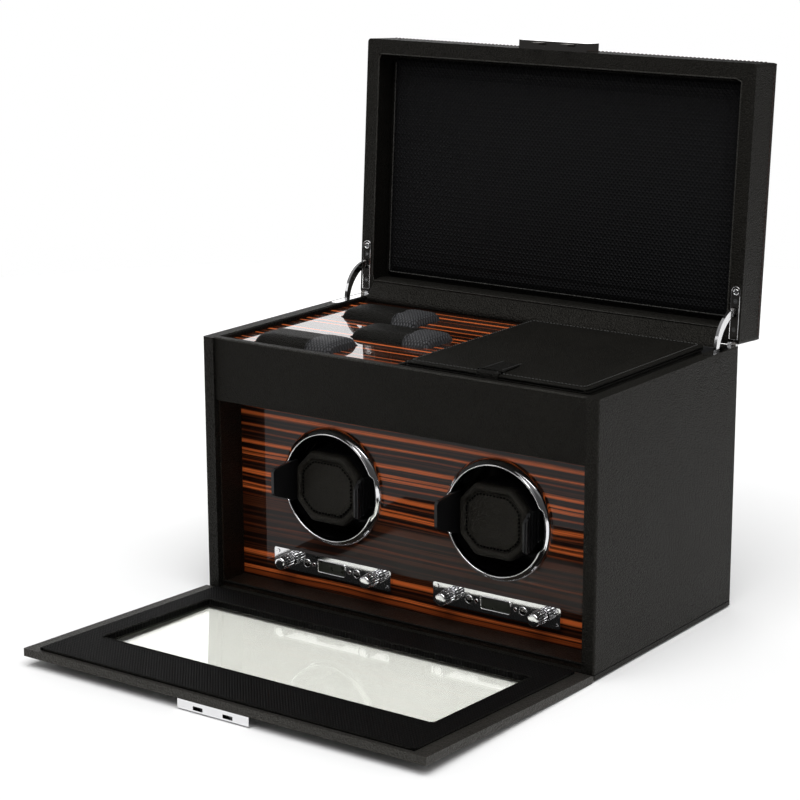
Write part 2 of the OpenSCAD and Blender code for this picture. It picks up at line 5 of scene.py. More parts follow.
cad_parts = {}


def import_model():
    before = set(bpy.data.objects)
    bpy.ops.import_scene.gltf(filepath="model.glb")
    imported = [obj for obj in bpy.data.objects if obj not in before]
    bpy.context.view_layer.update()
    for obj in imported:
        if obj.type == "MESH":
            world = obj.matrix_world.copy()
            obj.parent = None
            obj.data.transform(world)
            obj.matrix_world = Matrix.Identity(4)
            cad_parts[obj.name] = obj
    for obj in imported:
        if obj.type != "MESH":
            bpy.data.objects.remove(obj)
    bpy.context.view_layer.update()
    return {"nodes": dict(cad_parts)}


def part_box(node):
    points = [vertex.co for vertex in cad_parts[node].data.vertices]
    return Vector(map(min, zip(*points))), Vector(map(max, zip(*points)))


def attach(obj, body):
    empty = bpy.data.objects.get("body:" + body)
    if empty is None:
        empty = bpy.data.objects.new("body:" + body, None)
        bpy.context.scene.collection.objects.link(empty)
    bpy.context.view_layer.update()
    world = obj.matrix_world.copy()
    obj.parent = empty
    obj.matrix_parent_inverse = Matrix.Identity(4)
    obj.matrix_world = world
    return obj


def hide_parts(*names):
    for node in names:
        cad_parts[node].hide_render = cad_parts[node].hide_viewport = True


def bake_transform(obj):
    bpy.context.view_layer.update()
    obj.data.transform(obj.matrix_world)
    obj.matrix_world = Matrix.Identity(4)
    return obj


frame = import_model()


N = frame["nodes"]
MM = 0.001
sc = bpy.context.scene
HW, HD, ZT = 0.180, 0.1035, 0.2095

# ------------------------------------------------------------------ the two turning frames, at rest
def turn(y, z, deg):
    p = Vector((0, y, z))
    return Matrix.Translation(p) @ Matrix.Rotation(math.radians(deg), 4, "X") @ Matrix.Translation(-p)


LID = turn(0.1035, 0.2100, -93.7)
DOOR = turn(-0.1068, 0.0033, 87.85)

# ------------------------------------------------------------------ materials
class Mat:
    def __init__(self, name):
        self.m = bpy.data.materials.new(name)
        self.m.use_nodes = True
        self.t = self.m.node_tree
        self.b = self.t.nodes["Principled BSDF"]
        self.o = self.t.nodes["Material Output"]

    def n(self, kind, **kw):
        x = self.t.nodes.new(kind)
        for k, v in kw.items():
            setattr(x, k, v)
        return x

    def l(self, a, b):
        self.t.links.new(a, b)

    def set(self, **kw):
        for k, v in kw.items():
            self.b.inputs[k.replace("_", " ")].default_value = v

    def coords(self, scale=(1, 1, 1), rot=(0, 0, 0), loc=(0, 0, 0)):
        c = self.n("ShaderNodeTexCoord")
        m = self.n("ShaderNodeMapping")
        m.inputs["Scale"].default_value = scale
        m.inputs["Rotation"].default_value = rot
        m.inputs["Location"].default_value = loc
        self.l(c.outputs["Object"], m.inputs["Vector"])
        return m.outputs["Vector"]

    def noise(self, vec, scale, detail=4, rough=0.55):
        x = self.n("ShaderNodeTexNoise")
        x.inputs["Scale"].default_value = scale
        x.inputs["Detail"].default_value = detail
        x.inputs["Roughness"].default_value = rough
        self.l(vec, x.inputs["Vector"])
        return x.outputs["Fac"]

    def voronoi(self, vec, scale, feature="F1", rnd=1.0):
        x = self.n("ShaderNodeTexVoronoi", feature=feature)
        x.inputs["Scale"].default_value = scale
        x.inputs["Randomness"].default_value = rnd
        self.l(vec, x.inputs["Vector"])
        return x.outputs["Distance"]

    def ramp(self, fac, stops, mode="LINEAR"):
        x = self.n("ShaderNodeValToRGB")
        x.color_ramp.interpolation = mode
        e = x.color_ramp.elements
        while len(e) < len(stops):
            e.new(0.5)
        for i, (p, c) in enumerate(stops):
            e[i].position = p
            e[i].color = (*c, 1) if len(c) == 3 else c
        self.l(fac, x.inputs["Fac"])
        return x.outputs["Color"]

    def math(self, op, a, b=None, c=None):
        x = self.n("ShaderNodeMath", operation=op)
        for i, v in enumerate((a, b, c)):
            if v is None:
                continue
            if isinstance(v, (int, float)):
                x.inputs[i].default_value = v
            else:
                self.l(v, x.inputs[i])
        return x.outputs[0]

    def mix(self, fac, a, b, mode="MIX"):
        x = self.n("ShaderNodeMix", data_type="RGBA", blend_type=mode)
        for s, v in (("Factor", fac), ("A", a), ("B", b)):
            i = [k for k in x.inputs if k.name == s and (k.type == "RGBA" if s != "Factor" else k.type == "VALUE")][0]
            if isinstance(v, (int, float)):
                i.default_value = v
            elif isinstance(v, tuple):
                i.default_value = (*v, 1)
            else:
                self.l(v, i)
        return [o for o in x.outputs if o.type == "RGBA"][0]

    def bump(self, height, strength, dist, normal=None):
        x = self.n("ShaderNodeBump")
        x.inputs["Strength"].default_value = strength
        x.inputs["Distance"].default_value = dist
        self.l(height, x.inputs["Height"])
        if normal is not None:
            self.l(normal, x.inputs["Normal"])
        return x.outputs["Normal"]

    def col(self, c):
        self.l(c, self.b.inputs["Base Color"])

    def rough(self, c):
        self.l(c, self.b.inputs["Roughness"])

    def nrm(self, c):
        self.l(c, self.b.inputs["Normal"])

    def sep(self, vec):
        x = self.n("ShaderNodeSeparateXYZ")
        self.l(vec, x.inputs[0])
        return x.outputs


def leather(name, dark=(0.0034, 0.0032, 0.0026), light=(0.0068, 0.0064, 0.0054), grain=0.0011, depth=0.00009,
            rough=(0.44, 0.60), spec=0.20, crease=0.25):
    m = Mat(name)
    v = m.coords()
    cell = m.voronoi(v, 1 / grain, "SMOOTH_F1")
    fine = m.noise(v, 1 / (grain * 0.45), 3)
    broad = m.noise(v, 28, 3)
    h = m.math("SUBTRACT", m.math("MULTIPLY", fine, 0.35), m.math("MULTIPLY", cell, 1.0))
    fold = m.noise(m.coords((1, 1, 2.2)), 110, 2, 0.6)
    h2 = m.math("ADD", h, m.math("MULTIPLY", fold, crease))
    peb = m.ramp(m.math("ADD", m.math("MULTIPLY", cell, 0.8), m.math("MULTIPLY", fine, 0.35)), [(0.30, (1, 1, 1)), (0.72, (0, 0, 0))])
    tone = m.math("ADD", m.math("MULTIPLY", peb, 0.8), m.math("MULTIPLY", m.math("SUBTRACT", broad, 0.5), 0.5))
    m.col(m.mix(tone, tuple(0.35 * k for k in dark), tuple(1.75 * k for k in light)))
    rr = m.ramp(m.math("ADD", m.math("MULTIPLY", cell, 0.8), m.math("MULTIPLY", broad, 0.35)),
                [(0.2, (rough[0],) * 3), (0.85, (rough[1],) * 3)])
    m.rough(rr)
    m.set(Specular_IOR_Level=spec, IOR=1.45, Specular_Tint=(1.0, 0.955, 0.86, 1))
    m.nrm(m.bump(h2, 0.80, depth * 13))
    return m.m


def woven(name, pu=0.0044, pv=0.0047, axes=(0, 1), dark=(0.0035, 0.0035, 0.0042), light=(0.009, 0.009, 0.0105), strength=0.6, spec=0.16):
    """Leather embossed with small six-sided scales, two axes of the object's own space."""
    m = Mat(name)
    s = m.sep(m.coords())
    u = m.math("MULTIPLY", s[axes[0]], 1 / pu)
    w = m.math("MULTIPLY", s[axes[1]], 1 / pv)
    a = m.math("ABSOLUTE", m.math("SINE", m.math("MULTIPLY", m.math("ADD", u, w), math.pi)))
    b = m.math("ABSOLUTE", m.math("SINE", m.math("MULTIPLY", m.math("SUBTRACT", u, w), math.pi)))
    c = m.math("ABSOLUTE", m.math("COSINE", m.math("MULTIPLY", w, math.pi)))
    ridge = m.math("MINIMUM", a, b)
    scale = m.math("POWER", m.math("MULTIPLY", ridge, 1.0), 0.6)
    rib = m.math("MULTIPLY", m.math("POWER", c, 3.0), 0.25)
    grain = m.noise(m.coords(), 2400, 2)
    h = m.math("ADD", m.math("ADD", scale, rib), m.math("MULTIPLY", grain, 0.18))
    # scale tops take the light colour and grooves the dark; in the cushion sleeve weave the very light top colour
    # paints highlights on the scales
    m.col(m.mix(m.math("MULTIPLY", scale, 0.9), dark, light))
    m.rough(m.ramp(scale, [(0.1, (0.68,) * 3), (0.9, (0.46,) * 3)]))
    m.set(Specular_IOR_Level=spec, IOR=1.45)
    m.nrm(m.bump(h, strength, 0.0009))
    return m.m


def chrome(name, base=(0.82, 0.82, 0.83), rough=0.045):
    m = Mat(name)
    v = m.coords()
    haze = m.noise(v, 160, 3)
    m.col(m.mix(m.math("MULTIPLY", haze, 0.35), base, tuple(0.86 * k for k in base)))
    m.rough(m.ramp(haze, [(0.3, (rough,) * 3), (0.75, (rough * 2.0,) * 3)]))
    m.set(Metallic=1.0)
    m.nrm(m.bump(m.noise(v, 700, 2), 0.03, 0.0002))
    return m.m


ORANGE = (0.78, 0.164, 0.036)
RUST = (0.28, 0.052, 0.010)
BROWN = (0.062, 0.0150, 0.0045)
DARK = (0.0082, 0.0027, 0.0013)
SOOT = (0.0022, 0.0013, 0.0010)


def ebony(name, axis, low, high, bands, dark=DARK, tint=1.35, coat=0.47):
    """Striped ebony veneer under clear lacquer. bands: (middle, width, colour) in metres along axis."""
    m = Mat(name)
    v = m.coords((7, 40, 40) if axis == 2 else (7, 40, 40))
    wob = m.noise(m.coords((3.0, 9, 9)), 1.6, 3, 0.5)
    s = m.sep(m.coords())
    pos = m.math("ADD", s[axis], m.math("MULTIPLY", m.math("SUBTRACT", wob, 0.5), 0.0085))
    fac = m.math("DIVIDE", m.math("SUBTRACT", pos, low), high - low)
    stops = []
    for mid, w, c in sorted(bands):
        a = (mid - w / 2 - low) / (high - low)
        b = (mid + w / 2 - low) / (high - low)
        e = 0.0022
        stops += [(a - e, dark), (a + e, c), (b - e, c), (b + e, dark)]
    stops = [(min(max(p, 0), 1), c) for p, c in stops]
    base = None
    for k in range(0, len(stops), 28):
        part = m.ramp(fac, stops[k:k + 28])
        if base is None:
            base = part
        else:
            cut = (stops[k - 1][0] + stops[k][0]) / 2
            base = m.mix(m.math("GREATER_THAN", fac, cut), base, part)
    # fine figure: long dark and light pores along the grain
    stretch = [4.0, 4.0, 4.0]
    stretch[axis] = 420.0
    f1 = m.noise(m.coords(tuple(stretch)), 1.0, 5, 0.62)
    stretch2 = [2.0, 2.0, 2.0]
    stretch2[axis] = 120.0
    f2 = m.noise(m.coords(tuple(stretch2), loc=(3, 1, 2)), 1.0, 3, 0.55)
    base = m.mix(m.ramp(f2, [(0.56, (0, 0, 0)), (0.70, (0.5,) * 3)]), base, (0.030 * tint, 0.008 * tint, 0.003 * tint))
    base = m.mix(m.ramp(f1, [(0.32, (0.75,) * 3), (0.44, (0, 0, 0))]), base, SOOT)
    stretch3 = [1.6, 1.6, 1.6]
    stretch3[axis] = 620.0
    f3 = m.noise(m.coords(tuple(stretch3), loc=(1, 4, 2)), 1.0, 3, 0.6)
    base = m.mix(m.ramp(f3, [(0.55, (0, 0, 0)), (0.62, (0.55,) * 3)]), base, (0.085 * tint, 0.021 * tint, 0.006 * tint))
    stretch4 = [2.4, 2.4, 2.4]
    stretch4[axis] = 1500.0
    f4 = m.noise(m.coords(tuple(stretch4), loc=(5, 2, 7)), 1.0, 3, 0.6)
    base = m.mix(m.ramp(f4, [(0.36, (0.6,) * 3), (0.46, (0, 0, 0))]), base, SOOT)
    m.col(base)
    m.rough(m.ramp(f1, [(0.3, (0.34,) * 3), (0.7, (0.5,) * 3)]))
    m.set(Specular_IOR_Level=0.06, Coat_Weight=coat, Coat_Roughness=0.008, Coat_IOR=1.5)
    m.nrm(m.bump(f1, 0.04, 0.0002))
    return m.m


def plastic(name, base=(0.006, 0.006, 0.0065), rough=0.3, spec=0.5, coat=0.0, tex=1500):
    m = Mat(name)
    v = m.coords()
    f = m.noise(v, tex, 3)
    b = m.noise(v, 45, 3)
    m.col(m.mix(b, base, tuple(1.7 * k for k in base)))
    m.rough(m.ramp(m.math("ADD", m.math("MULTIPLY", f, 0.6), m.math("MULTIPLY", b, 0.4)),
                   [(0.3, (rough * 0.85,) * 3), (0.7, (min(1, rough * 1.3),) * 3)]))
    m.set(Specular_IOR_Level=spec, Coat_Weight=coat, Coat_Roughness=0.03)
    m.nrm(m.bump(f, 0.12, 0.0001))
    return m.m


def felt(name, base=(0.012, 0.012, 0.013)):
    m = Mat(name)
    v = m.coords()
    f = m.noise(v, 1800, 4, 0.7)
    b = m.noise(v, 60, 3)
    m.col(m.mix(f, tuple(0.6 * k for k in base), tuple(1.8 * k for k in base)))
    m.rough(m.ramp(b, [(0.3, (0.85,) * 3), (0.7, (0.97,) * 3)]))
    m.set(Sheen_Weight=0.35, Sheen_Roughness=0.5, Specular_IOR_Level=0.2)
    m.nrm(m.bump(f, 0.5, 0.0005))
    return m.m


def thread(name, base=(0.02, 0.02, 0.02), spec=0.4):
    m = Mat(name)
    v = m.coords((1, 1, 1))
    w = m.noise(v, 3500, 2)
    m.col(m.mix(w, tuple(0.5 * k for k in base), tuple(1.6 * k for k in base)))
    m.rough(m.ramp(w, [(0.3, (0.5,) * 3), (0.7, (0.75,) * 3)]))
    m.set(Specular_IOR_Level=spec)
    m.nrm(m.bump(w, 0.4, 0.0002))
    return m.m


def glass_mat(name):
    m = Mat(name)
    v = m.coords()
    smear = m.noise(v, 22, 4)
    m.rough(m.ramp(smear, [(0.4, (0.0,) * 3), (0.8, (0.03,) * 3)]))
    # grey-green tint on the pane: painted shade of the floor beneath the door, since the glass casts no shadow
    m.set(Base_Color=(0.70, 0.705, 0.665, 1), Transmission_Weight=1.0, IOR=1.34)
    return m.m


def lcd_mat(name):
    m = Mat(name)
    v = m.coords()
    s = m.sep(v)
    seg = m.math("FRACT", m.math("MULTIPLY", s[0], 1 / 0.0031))
    row = m.math("FRACT", m.math("MULTIPLY", s[2], 1 / 0.0026))
    dot = m.math("MULTIPLY", m.math("GREATER_THAN", seg, 0.16), m.math("GREATER_THAN", row, 0.2))
    m.col(m.mix(dot, (0.014, 0.015, 0.011), (0.020, 0.022, 0.015)))
    m.rough(m.ramp(m.noise(v, 200, 2), [(0.3, (0.25,) * 3), (0.7, (0.36,) * 3)]))
    m.set(Coat_Weight=1.0, Coat_Roughness=0.02)
    return m.m


M = {}
M["leather"] = leather("leather_case", spec=0.22)
M["leather_lid"] = leather("leather_lid", grain=0.0011, depth=0.00009, spec=0.23, crease=0.12)
# door frame leather about twice as light as the case leather: painted sheen of grazing highlights on the frame
M["leather_door_painted_sheen"] = leather("leather_door_painted_sheen", dark=(0.0072, 0.0068, 0.0058), light=(0.0128, 0.0120, 0.0104), grain=0.0012, rough=(0.38, 0.52), spec=0.56)
M["leather_soft"] = leather("leather_soft", dark=(0.0028, 0.0028, 0.0026), light=(0.0056, 0.0055, 0.0050), grain=0.0009, rough=(0.42, 0.60), spec=0.14, crease=0.4)
M["leather_fine"] = leather("leather_fine", dark=(0.0034, 0.0031, 0.0025), light=(0.0064, 0.0060, 0.0050), grain=0.00075, depth=0.00006, rough=(0.44, 0.58), spec=0.18, crease=0.2)
# lighter leather for the rolled edge tubes: painted highlight along the fascia's and lid rim's edges
M["leather_edge_painted_highlight"] = leather("leather_edge_painted_highlight", dark=(0.010, 0.0098, 0.0088), light=(0.020, 0.0196, 0.018), grain=0.0008, rough=(0.34, 0.5), spec=0.5)
# pale leather, about ten times lighter than the case leather: painted highlight for the lining's seam line
M["seam_painted_highlight"] = leather("seam_painted_highlight", dark=(0.030, 0.030, 0.029), light=(0.060, 0.060, 0.058), grain=0.0007, depth=0.00006, rough=(0.36, 0.5), spec=0.5)
M["leather_cuff"] = leather("leather_cuff", dark=(0.0062, 0.0054, 0.0042), light=(0.0110, 0.0098, 0.0078), grain=0.00060, depth=0.00006, rough=(0.40, 0.54), spec=0.34, crease=0.2)
M["leather_bay"] = leather("leather_bay", dark=(0.0050, 0.0026, 0.0015), light=(0.0100, 0.0052, 0.0030), grain=0.0008, rough=(0.3, 0.42), spec=0.25)
M["weave_lid"] = woven("weave_lid", 0.0036, 0.0040, dark=(0.0024, 0.0024, 0.0028), light=(0.0068, 0.0068, 0.0078), strength=0.8, spec=0.15)
M["weave_door"] = woven("weave_door", 0.0025, 0.0030, dark=(0.0019, 0.0018, 0.0018), light=(0.0046, 0.0044, 0.0044), strength=1.0, spec=0.05)
# sleeve weave with scale tops about fifteen times lighter than the grooves: painted highlight on the scales
M["weave_end_painted_highlight"] = woven("weave_end_painted_highlight", 0.0034, 0.0029, axes=(1, 0), dark=(0.0040, 0.0042, 0.0048), light=(0.060, 0.061, 0.066), strength=1.0, spec=0.45)
M["chrome"] = chrome("chrome")
M["nickel"] = chrome("black_nickel", (0.13, 0.125, 0.12), 0.05)
M["leaf"] = chrome("dark_leaf", (0.30, 0.285, 0.27), 0.05)
# latch metal darker than the chrome: painted dark reflection on the lid latch
M["latch"] = chrome("latch_plate_painted_dark_reflection", (0.48, 0.46, 0.44), 0.05)
M["steel"] = chrome("polished_steel", (0.72, 0.72, 0.73), 0.07)
M["cup"] = plastic("gloss_black", (0.0035, 0.0035, 0.0038), 0.16, 0.5, 0.5)
M["satin"] = plastic("satin_black", (0.0045, 0.0045, 0.0048), 0.34, 0.45)
M["matt"] = plastic("matt_black", (0.008, 0.008, 0.0085), 0.5, 0.4)
M["motor"] = plastic("motor_grey", (0.05, 0.052, 0.056), 0.35, 0.5)
M["board"] = plastic("circuit_green", (0.012, 0.06, 0.03), 0.4, 0.5, 0.3)
M["felt"] = felt("felt_black")
M["thread"] = thread("thread_black", (0.016, 0.016, 0.016))
M["thread_rust"] = thread("thread_rust", (0.036, 0.010, 0.006))
M["thread_pale"] = thread("thread_pale", (0.050, 0.050, 0.048))
M["thread_light"] = thread("thread_grey", (0.035, 0.035, 0.036))
# near-black stitch material without sheen: painted shade of the needle holes
M["hole"] = thread("needle_hole", (0.0008, 0.0008, 0.0008), 0.02)
M["glass"] = glass_mat("glass_painted_floor_shade")
M["lcd"] = lcd_mat("lcd_face")
M["led"] = plastic("red_lens", (0.022, 0.004, 0.003), 0.2, 0.5, 0.8)
M["galv"] = chrome("bracket_zinc", (0.5, 0.51, 0.53), 0.28)

zf = 0.0015
FRONT = [(155.2, 3.6, ORANGE), (149.6, 1.0, RUST), (144.0, 3.4, ORANGE), (139.0, 0.8, BROWN), (134.8, 1.8, ORANGE), (129.5, 1.0, RUST), (125.6, 1.4, BROWN),
         (120.6, 2.8, ORANGE), (113.4, 1.9, ORANGE), (110.2, 2.2, ORANGE), (104.4, 1.4, RUST), (99.6, 0.8, BROWN), (95.0, 3.4, ORANGE), (90.4, 0.9, RUST),
         (84.6, 1.3, ORANGE), (81.4, 2.6, ORANGE), (76.0, 0.9, RUST), (69.0, 5.0, BROWN), (62.4, 1.0, BROWN), (57.5, 2.4, BROWN), (52.0, 0.8, RUST), (47.0, 3.0, BROWN),
         (40.5, 1.0, BROWN), (33.6, 1.0, BROWN), (28.4, 4.2, ORANGE), (24.2, 0.7, RUST), (20.5, 1.5, BROWN), (15.4, 2.6, ORANGE), (11.2, 3.4, RUST), (7.0, 1.0, BROWN)]
M["wood"] = ebony("ebony_front", 2, 0.0, 0.17, [(zf + a * MM, b * MM, c) for a, b, c in FRONT])
DECK = [(-88, 2.2, ORANGE), (-79, 3.0, RUST), (-70, 1.6, ORANGE), (-61, 4.0, BROWN), (-52, 2.0, ORANGE), (-44, 1.4, RUST),
        (-35, 3.2, ORANGE), (-27, 1.8, RUST), (-18, 2.4, ORANGE), (-6, 3.0, BROWN), (5, 2.0, ORANGE), (14, 3.4, ORANGE),
        (24, 1.6, RUST), (36, 2.6, ORANGE)]
M["wood_deck"] = ebony("ebony_deck", 1, -0.1, 0.1,
                       [(a * MM, b * MM, c) for a, b, c in DECK] + [(0.048, 0.003, ORANGE), (0.062, 0.002, RUST), (0.073, 0.0036, ORANGE), (0.085, 0.002, ORANGE)],
                       coat=1.0)

SHOW = {
    "base_felt": "felt", "base_board": "leather", "side_left": "leather", "side_right": "leather", "back_panel": "leather",
    "fascia": "leather_fine", "bay_liner": "leather_bay", "winder_panel": "wood", "shelf": "leather", "deck": "wood_deck",
    "pocket_cups": "felt", "well_liner": "felt", "motor_bracket": "galv", "motors": "motor", "pcbs": "board",
    "control_plate_left": "chrome", "control_plate_right": "chrome", "lcd_windows": "lcd", "status_leds": "led",
    "plate_screws": "chrome", "dc_jack": "satin", "service_cover": "matt", "stay_leaves": "steel", "stay_screws": "steel",
    "door_hinges": "matt", "lid_shell": "leather_lid", "lid_pad": "leather_lid", "lid_latch": "latch", "lid_leaves": "leaf",
    "lid_screws": "steel", "stay_arm_left": "steel", "stay_arm_right": "steel", "door_frame": "leather_door_painted_sheen", "door_panel": "weave_door",
    "door_glass": "glass", "door_latch": "chrome", "door_leaves": "matt", "cup_left": "cup", "cup_right": "cup",
    "ring_left": "chrome", "ring_right": "chrome", "cuff_core_left": "satin", "cuff_core_right": "satin",
    "cuff_pad_left": "leather_cuff", "cuff_pad_right": "leather_cuff", "cuff_wing_left": "satin", "cuff_wing_right": "satin",
}
BEVEL = {
    "side_left": 1.3, "side_right": 1.3, "fascia": 1.6, "base_board": 0.7, "lid_shell": 1.3, "door_frame": 1.2, "door_panel": 0.7,
    "bay_liner": 0.35, "control_plate_left": 0.45, "control_plate_right": 0.45, "lid_latch": 0.5, "door_latch": 0.5,
    "cuff_wing_left": 0.8, "cuff_wing_right": 0.8, "cuff_core_left": 0.6, "cuff_core_right": 0.6, "stay_leaves": 0.25,
    "lid_leaves": 0.25, "stay_arm_left": 0.35, "stay_arm_right": 0.35, "back_panel": 0.6, "service_cover": 0.5, "dc_jack": 0.3,
    "door_hinges": 0.2, "door_leaves": 0.2, "plate_screws": 0.12, "lid_screws": 0.15, "stay_screws": 0.15, "deck": 0.5,
    "lcd_windows": 0.2, "travel_tray": 1.0, "base_felt": 0.4,
}
# the glass casts no shadow; the shade under it is painted into the glass's tint
N["door_glass"].visible_shadow = False
for name, o in N.items():
    k = SHOW.get(name, "chrome")
    o.data.materials.clear()
    o.data.materials.append(M[k])
    if name in BEVEL:
        b = o.modifiers.new("soft_edges", "BEVEL")
        b.width = BEVEL[name] * MM
        b.segments = 3
        b.limit_method = "ANGLE"
        b.angle_limit = math.radians(40)
        b.use_clamp_overlap = True
        b.harden_normals = False
        b.miter_outer = "MITER_ARC"


# ------------------------------------------------------------------ mesh helpers
def obj(name, verts, faces, mat, body, xf=None, smooth=True):
    me = bpy.data.meshes.new(name)
    me.from_pydata([tuple(v) for v in verts], [], faces)
    me.validate()
    me.update()
    o = bpy.data.objects.new(name, me)
    sc.collection.objects.link(o)
    me.materials.append(mat)
    if smooth:
        me.polygons.foreach_set("use_smooth", [True] * len(me.polygons))
    if xf is not None:
        o.matrix_world = xf
    if body:
        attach(o, body)
    return o


def from_bm(name, bm, mat, body, xf=None, smooth=True):
    me = bpy.data.meshes.new(name)
    bmesh.ops.recalc_face_normals(bm, faces=bm.faces)
    bm.to_mesh(me)
    bm.free()
    o = bpy.data.objects.new(name, me)
    sc.collection.objects.link(o)
    me.materials.append(mat)
    if smooth:
        me.polygons.foreach_set("use_smooth", [True] * len(me.polygons))
    if xf is not None:
        o.matrix_world = xf
    if body:
        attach(o, body)
    return o


def rbox_bm(x0, x1, y0, y1, z0, z1, r, seg=4):
    bm = bmesh.new()
    bmesh.ops.create_cube(bm, size=1)
    for v in bm.verts:
        v.co = Vector(((x0 + x1) / 2 + v.co.x * (x1 - x0), (y0 + y1) / 2 + v.co.y * (y1 - y0), (z0 + z1) / 2 + v.co.z * (z1 - z0)))
    bmesh.ops.bevel(bm, geom=list(bm.edges) + list(bm.verts), offset=r, segments=seg, profile=0.5, affect="EDGES")
    return bm


def subsurf(o, n=1):
    m = o.modifiers.new("smooth", "SUBSURF")
    m.levels = n
    m.render_levels = n
    return o


def lathe(profile, seg, axis_y=True, mod=None):
    """Closed ring around the Y axis from (r, y) points; mod(angle, r, y) may shift a point."""
    vs, fs = [], []
    n = len(profile)
    for i in range(seg):
        a = 2 * math.pi * i / seg
        for r, y in profile:
            if mod:
                r, y = mod(a, r, y)
            vs.append((r * math.cos(a), y, r * math.sin(a)))
    for i in range(seg):
        j = (i + 1) % seg
        for k in range(n - 1):
            fs.append((i * n + k, i * n + k + 1, j * n + k + 1, j * n + k))
    return vs, fs


def tube(path, r, seg=8, closed=True):
    """Round tube along a list of points."""
    vs, fs = [], []
    n = len(path)
    P = [Vector(p) for p in path]
    for i, p in enumerate(P):
        a = P[(i - 1) % n] if closed or i > 0 else p
        b = P[(i + 1) % n] if closed or i < n - 1 else p
        t = (b - a).normalized()
        up = Vector((0, 0, 1)) if abs(t.z) < 0.9 else Vector((1, 0, 0))
        s = t.cross(up).normalized()
        u = s.cross(t).normalized()
        for k in range(seg):
            c = 2 * math.pi * k / seg
            vs.append(p + s * (r * math.cos(c)) + u * (r * math.sin(c)))
    m = n if closed else n - 1
    for i in range(m):
        j = (i + 1) % n
        for k in range(seg):
            l = (k + 1) % seg
            fs.append((i * seg + k, i * seg + l, j * seg + l, j * seg + k))
    return vs, fs


def rr_path(x0, x1, y0, y1, z, r, n=6):
    pts = []
    for cx, cy, a0 in ((x1 - r, y1 - r, 0), (x0 + r, y1 - r, 90), (x0 + r, y0 + r, 180), (x1 - r, y0 + r, 270)):
        for k in range(n + 1):
            a = math.radians(a0 + 90 * k / n)
            pts.append(Vector((cx + r * math.cos(a), cy + r * math.sin(a), z)))
    return pts


def resample(path, pitch, closed=True):
    P = [Vector(p) for p in path]
    if closed:
        P.append(P[0])
    L = [0.0]
    for a, b in zip(P, P[1:]):
        L.append(L[-1] + (b - a).length)
    n = max(2, round(L[-1] / pitch))
    out = []
    k = 0
    for i in range(n if closed else n + 1):
        s = L[-1] * i / n
        while k < len(L) - 2 and L[k + 1] < s:
            k += 1
        f = (s - L[k]) / max(1e-9, L[k + 1] - L[k])
        out.append(P[k].lerp(P[k + 1], f))
    return out


def stitches(name, path, up, mat, body, pitch=0.0032, length=0.0023, r=0.00028, closed=True, xf=None, lift=None):
    """A row of sewn stitches: short rounded threads that dip at both ends."""
    P = resample(path, pitch, closed)
    n = len(P)
    up = Vector(up).normalized()
    vs, fs = [], []
    prof = ((-0.5, 0.15, -0.8), (-0.42, 0.8, -0.25), (-0.2, 1.0, 0.15), (0.2, 1.0, 0.15), (0.42, 0.8, -0.25), (0.5, 0.15, -0.8))
    seg = 6
    for i in range(n if closed else n - 1):
        a, b = P[i], P[(i + 1) % n]
        t = (b - a).normalized()
        c = (a + b) / 2
        s = t.cross(up).normalized()
        o = len(vs)
        for f, w, h in prof:
            q = c + t * (f * length) + up * (h * r)
            for k in range(seg):
                g = 2 * math.pi * k / seg
                vs.append(q + s * (r * w * math.cos(g)) + up * (r * w * math.sin(g)))
        for j in range(len(prof) - 1):
            for k in range(seg):
                l = (k + 1) % seg
                fs.append((o + j * seg + k, o + j * seg + l, o + (j + 1) * seg + l, o + (j + 1) * seg + k))
        fs.append(tuple(o + k for k in reversed(range(seg))))
        e = o + (len(prof) - 1) * seg
        fs.append(tuple(e + k for k in range(seg)))
    return obj(name, vs, fs, mat, body, xf, True)


def rounded_poly(pts, d, r, n=8):
    """Convex polygon pulled in by d, its corners rounded by r. Counter-clockwise points (x, y)."""
    m = len(pts)
    lines = []
    for i in range(m):
        a, b = Vector(pts[i]), Vector(pts[(i + 1) % m])
        t = (b - a).normalized()
        nrm = Vector((t.y, -t.x))
        lines.append((nrm, nrm.dot(a) - d - r))
    out = []
    for i in range(m):
        n0, c0 = lines[i - 1]
        n1, c1 = lines[i]
        det = n0.x * n1.y - n0.y * n1.x
        x = (c0 * n1.y - c1 * n0.y) / det
        y = (n0.x * c1 - n1.x * c0) / det
        a0 = math.atan2(n0.y, n0.x)
        a1 = math.atan2(n1.y, n1.x)
        if a1 < a0:
            a1 += 2 * math.pi
        for k in range(n + 1):
            a = a0 + (a1 - a0) * k / n
            out.append((x + r * math.cos(a), y + r * math.sin(a)))
    return out


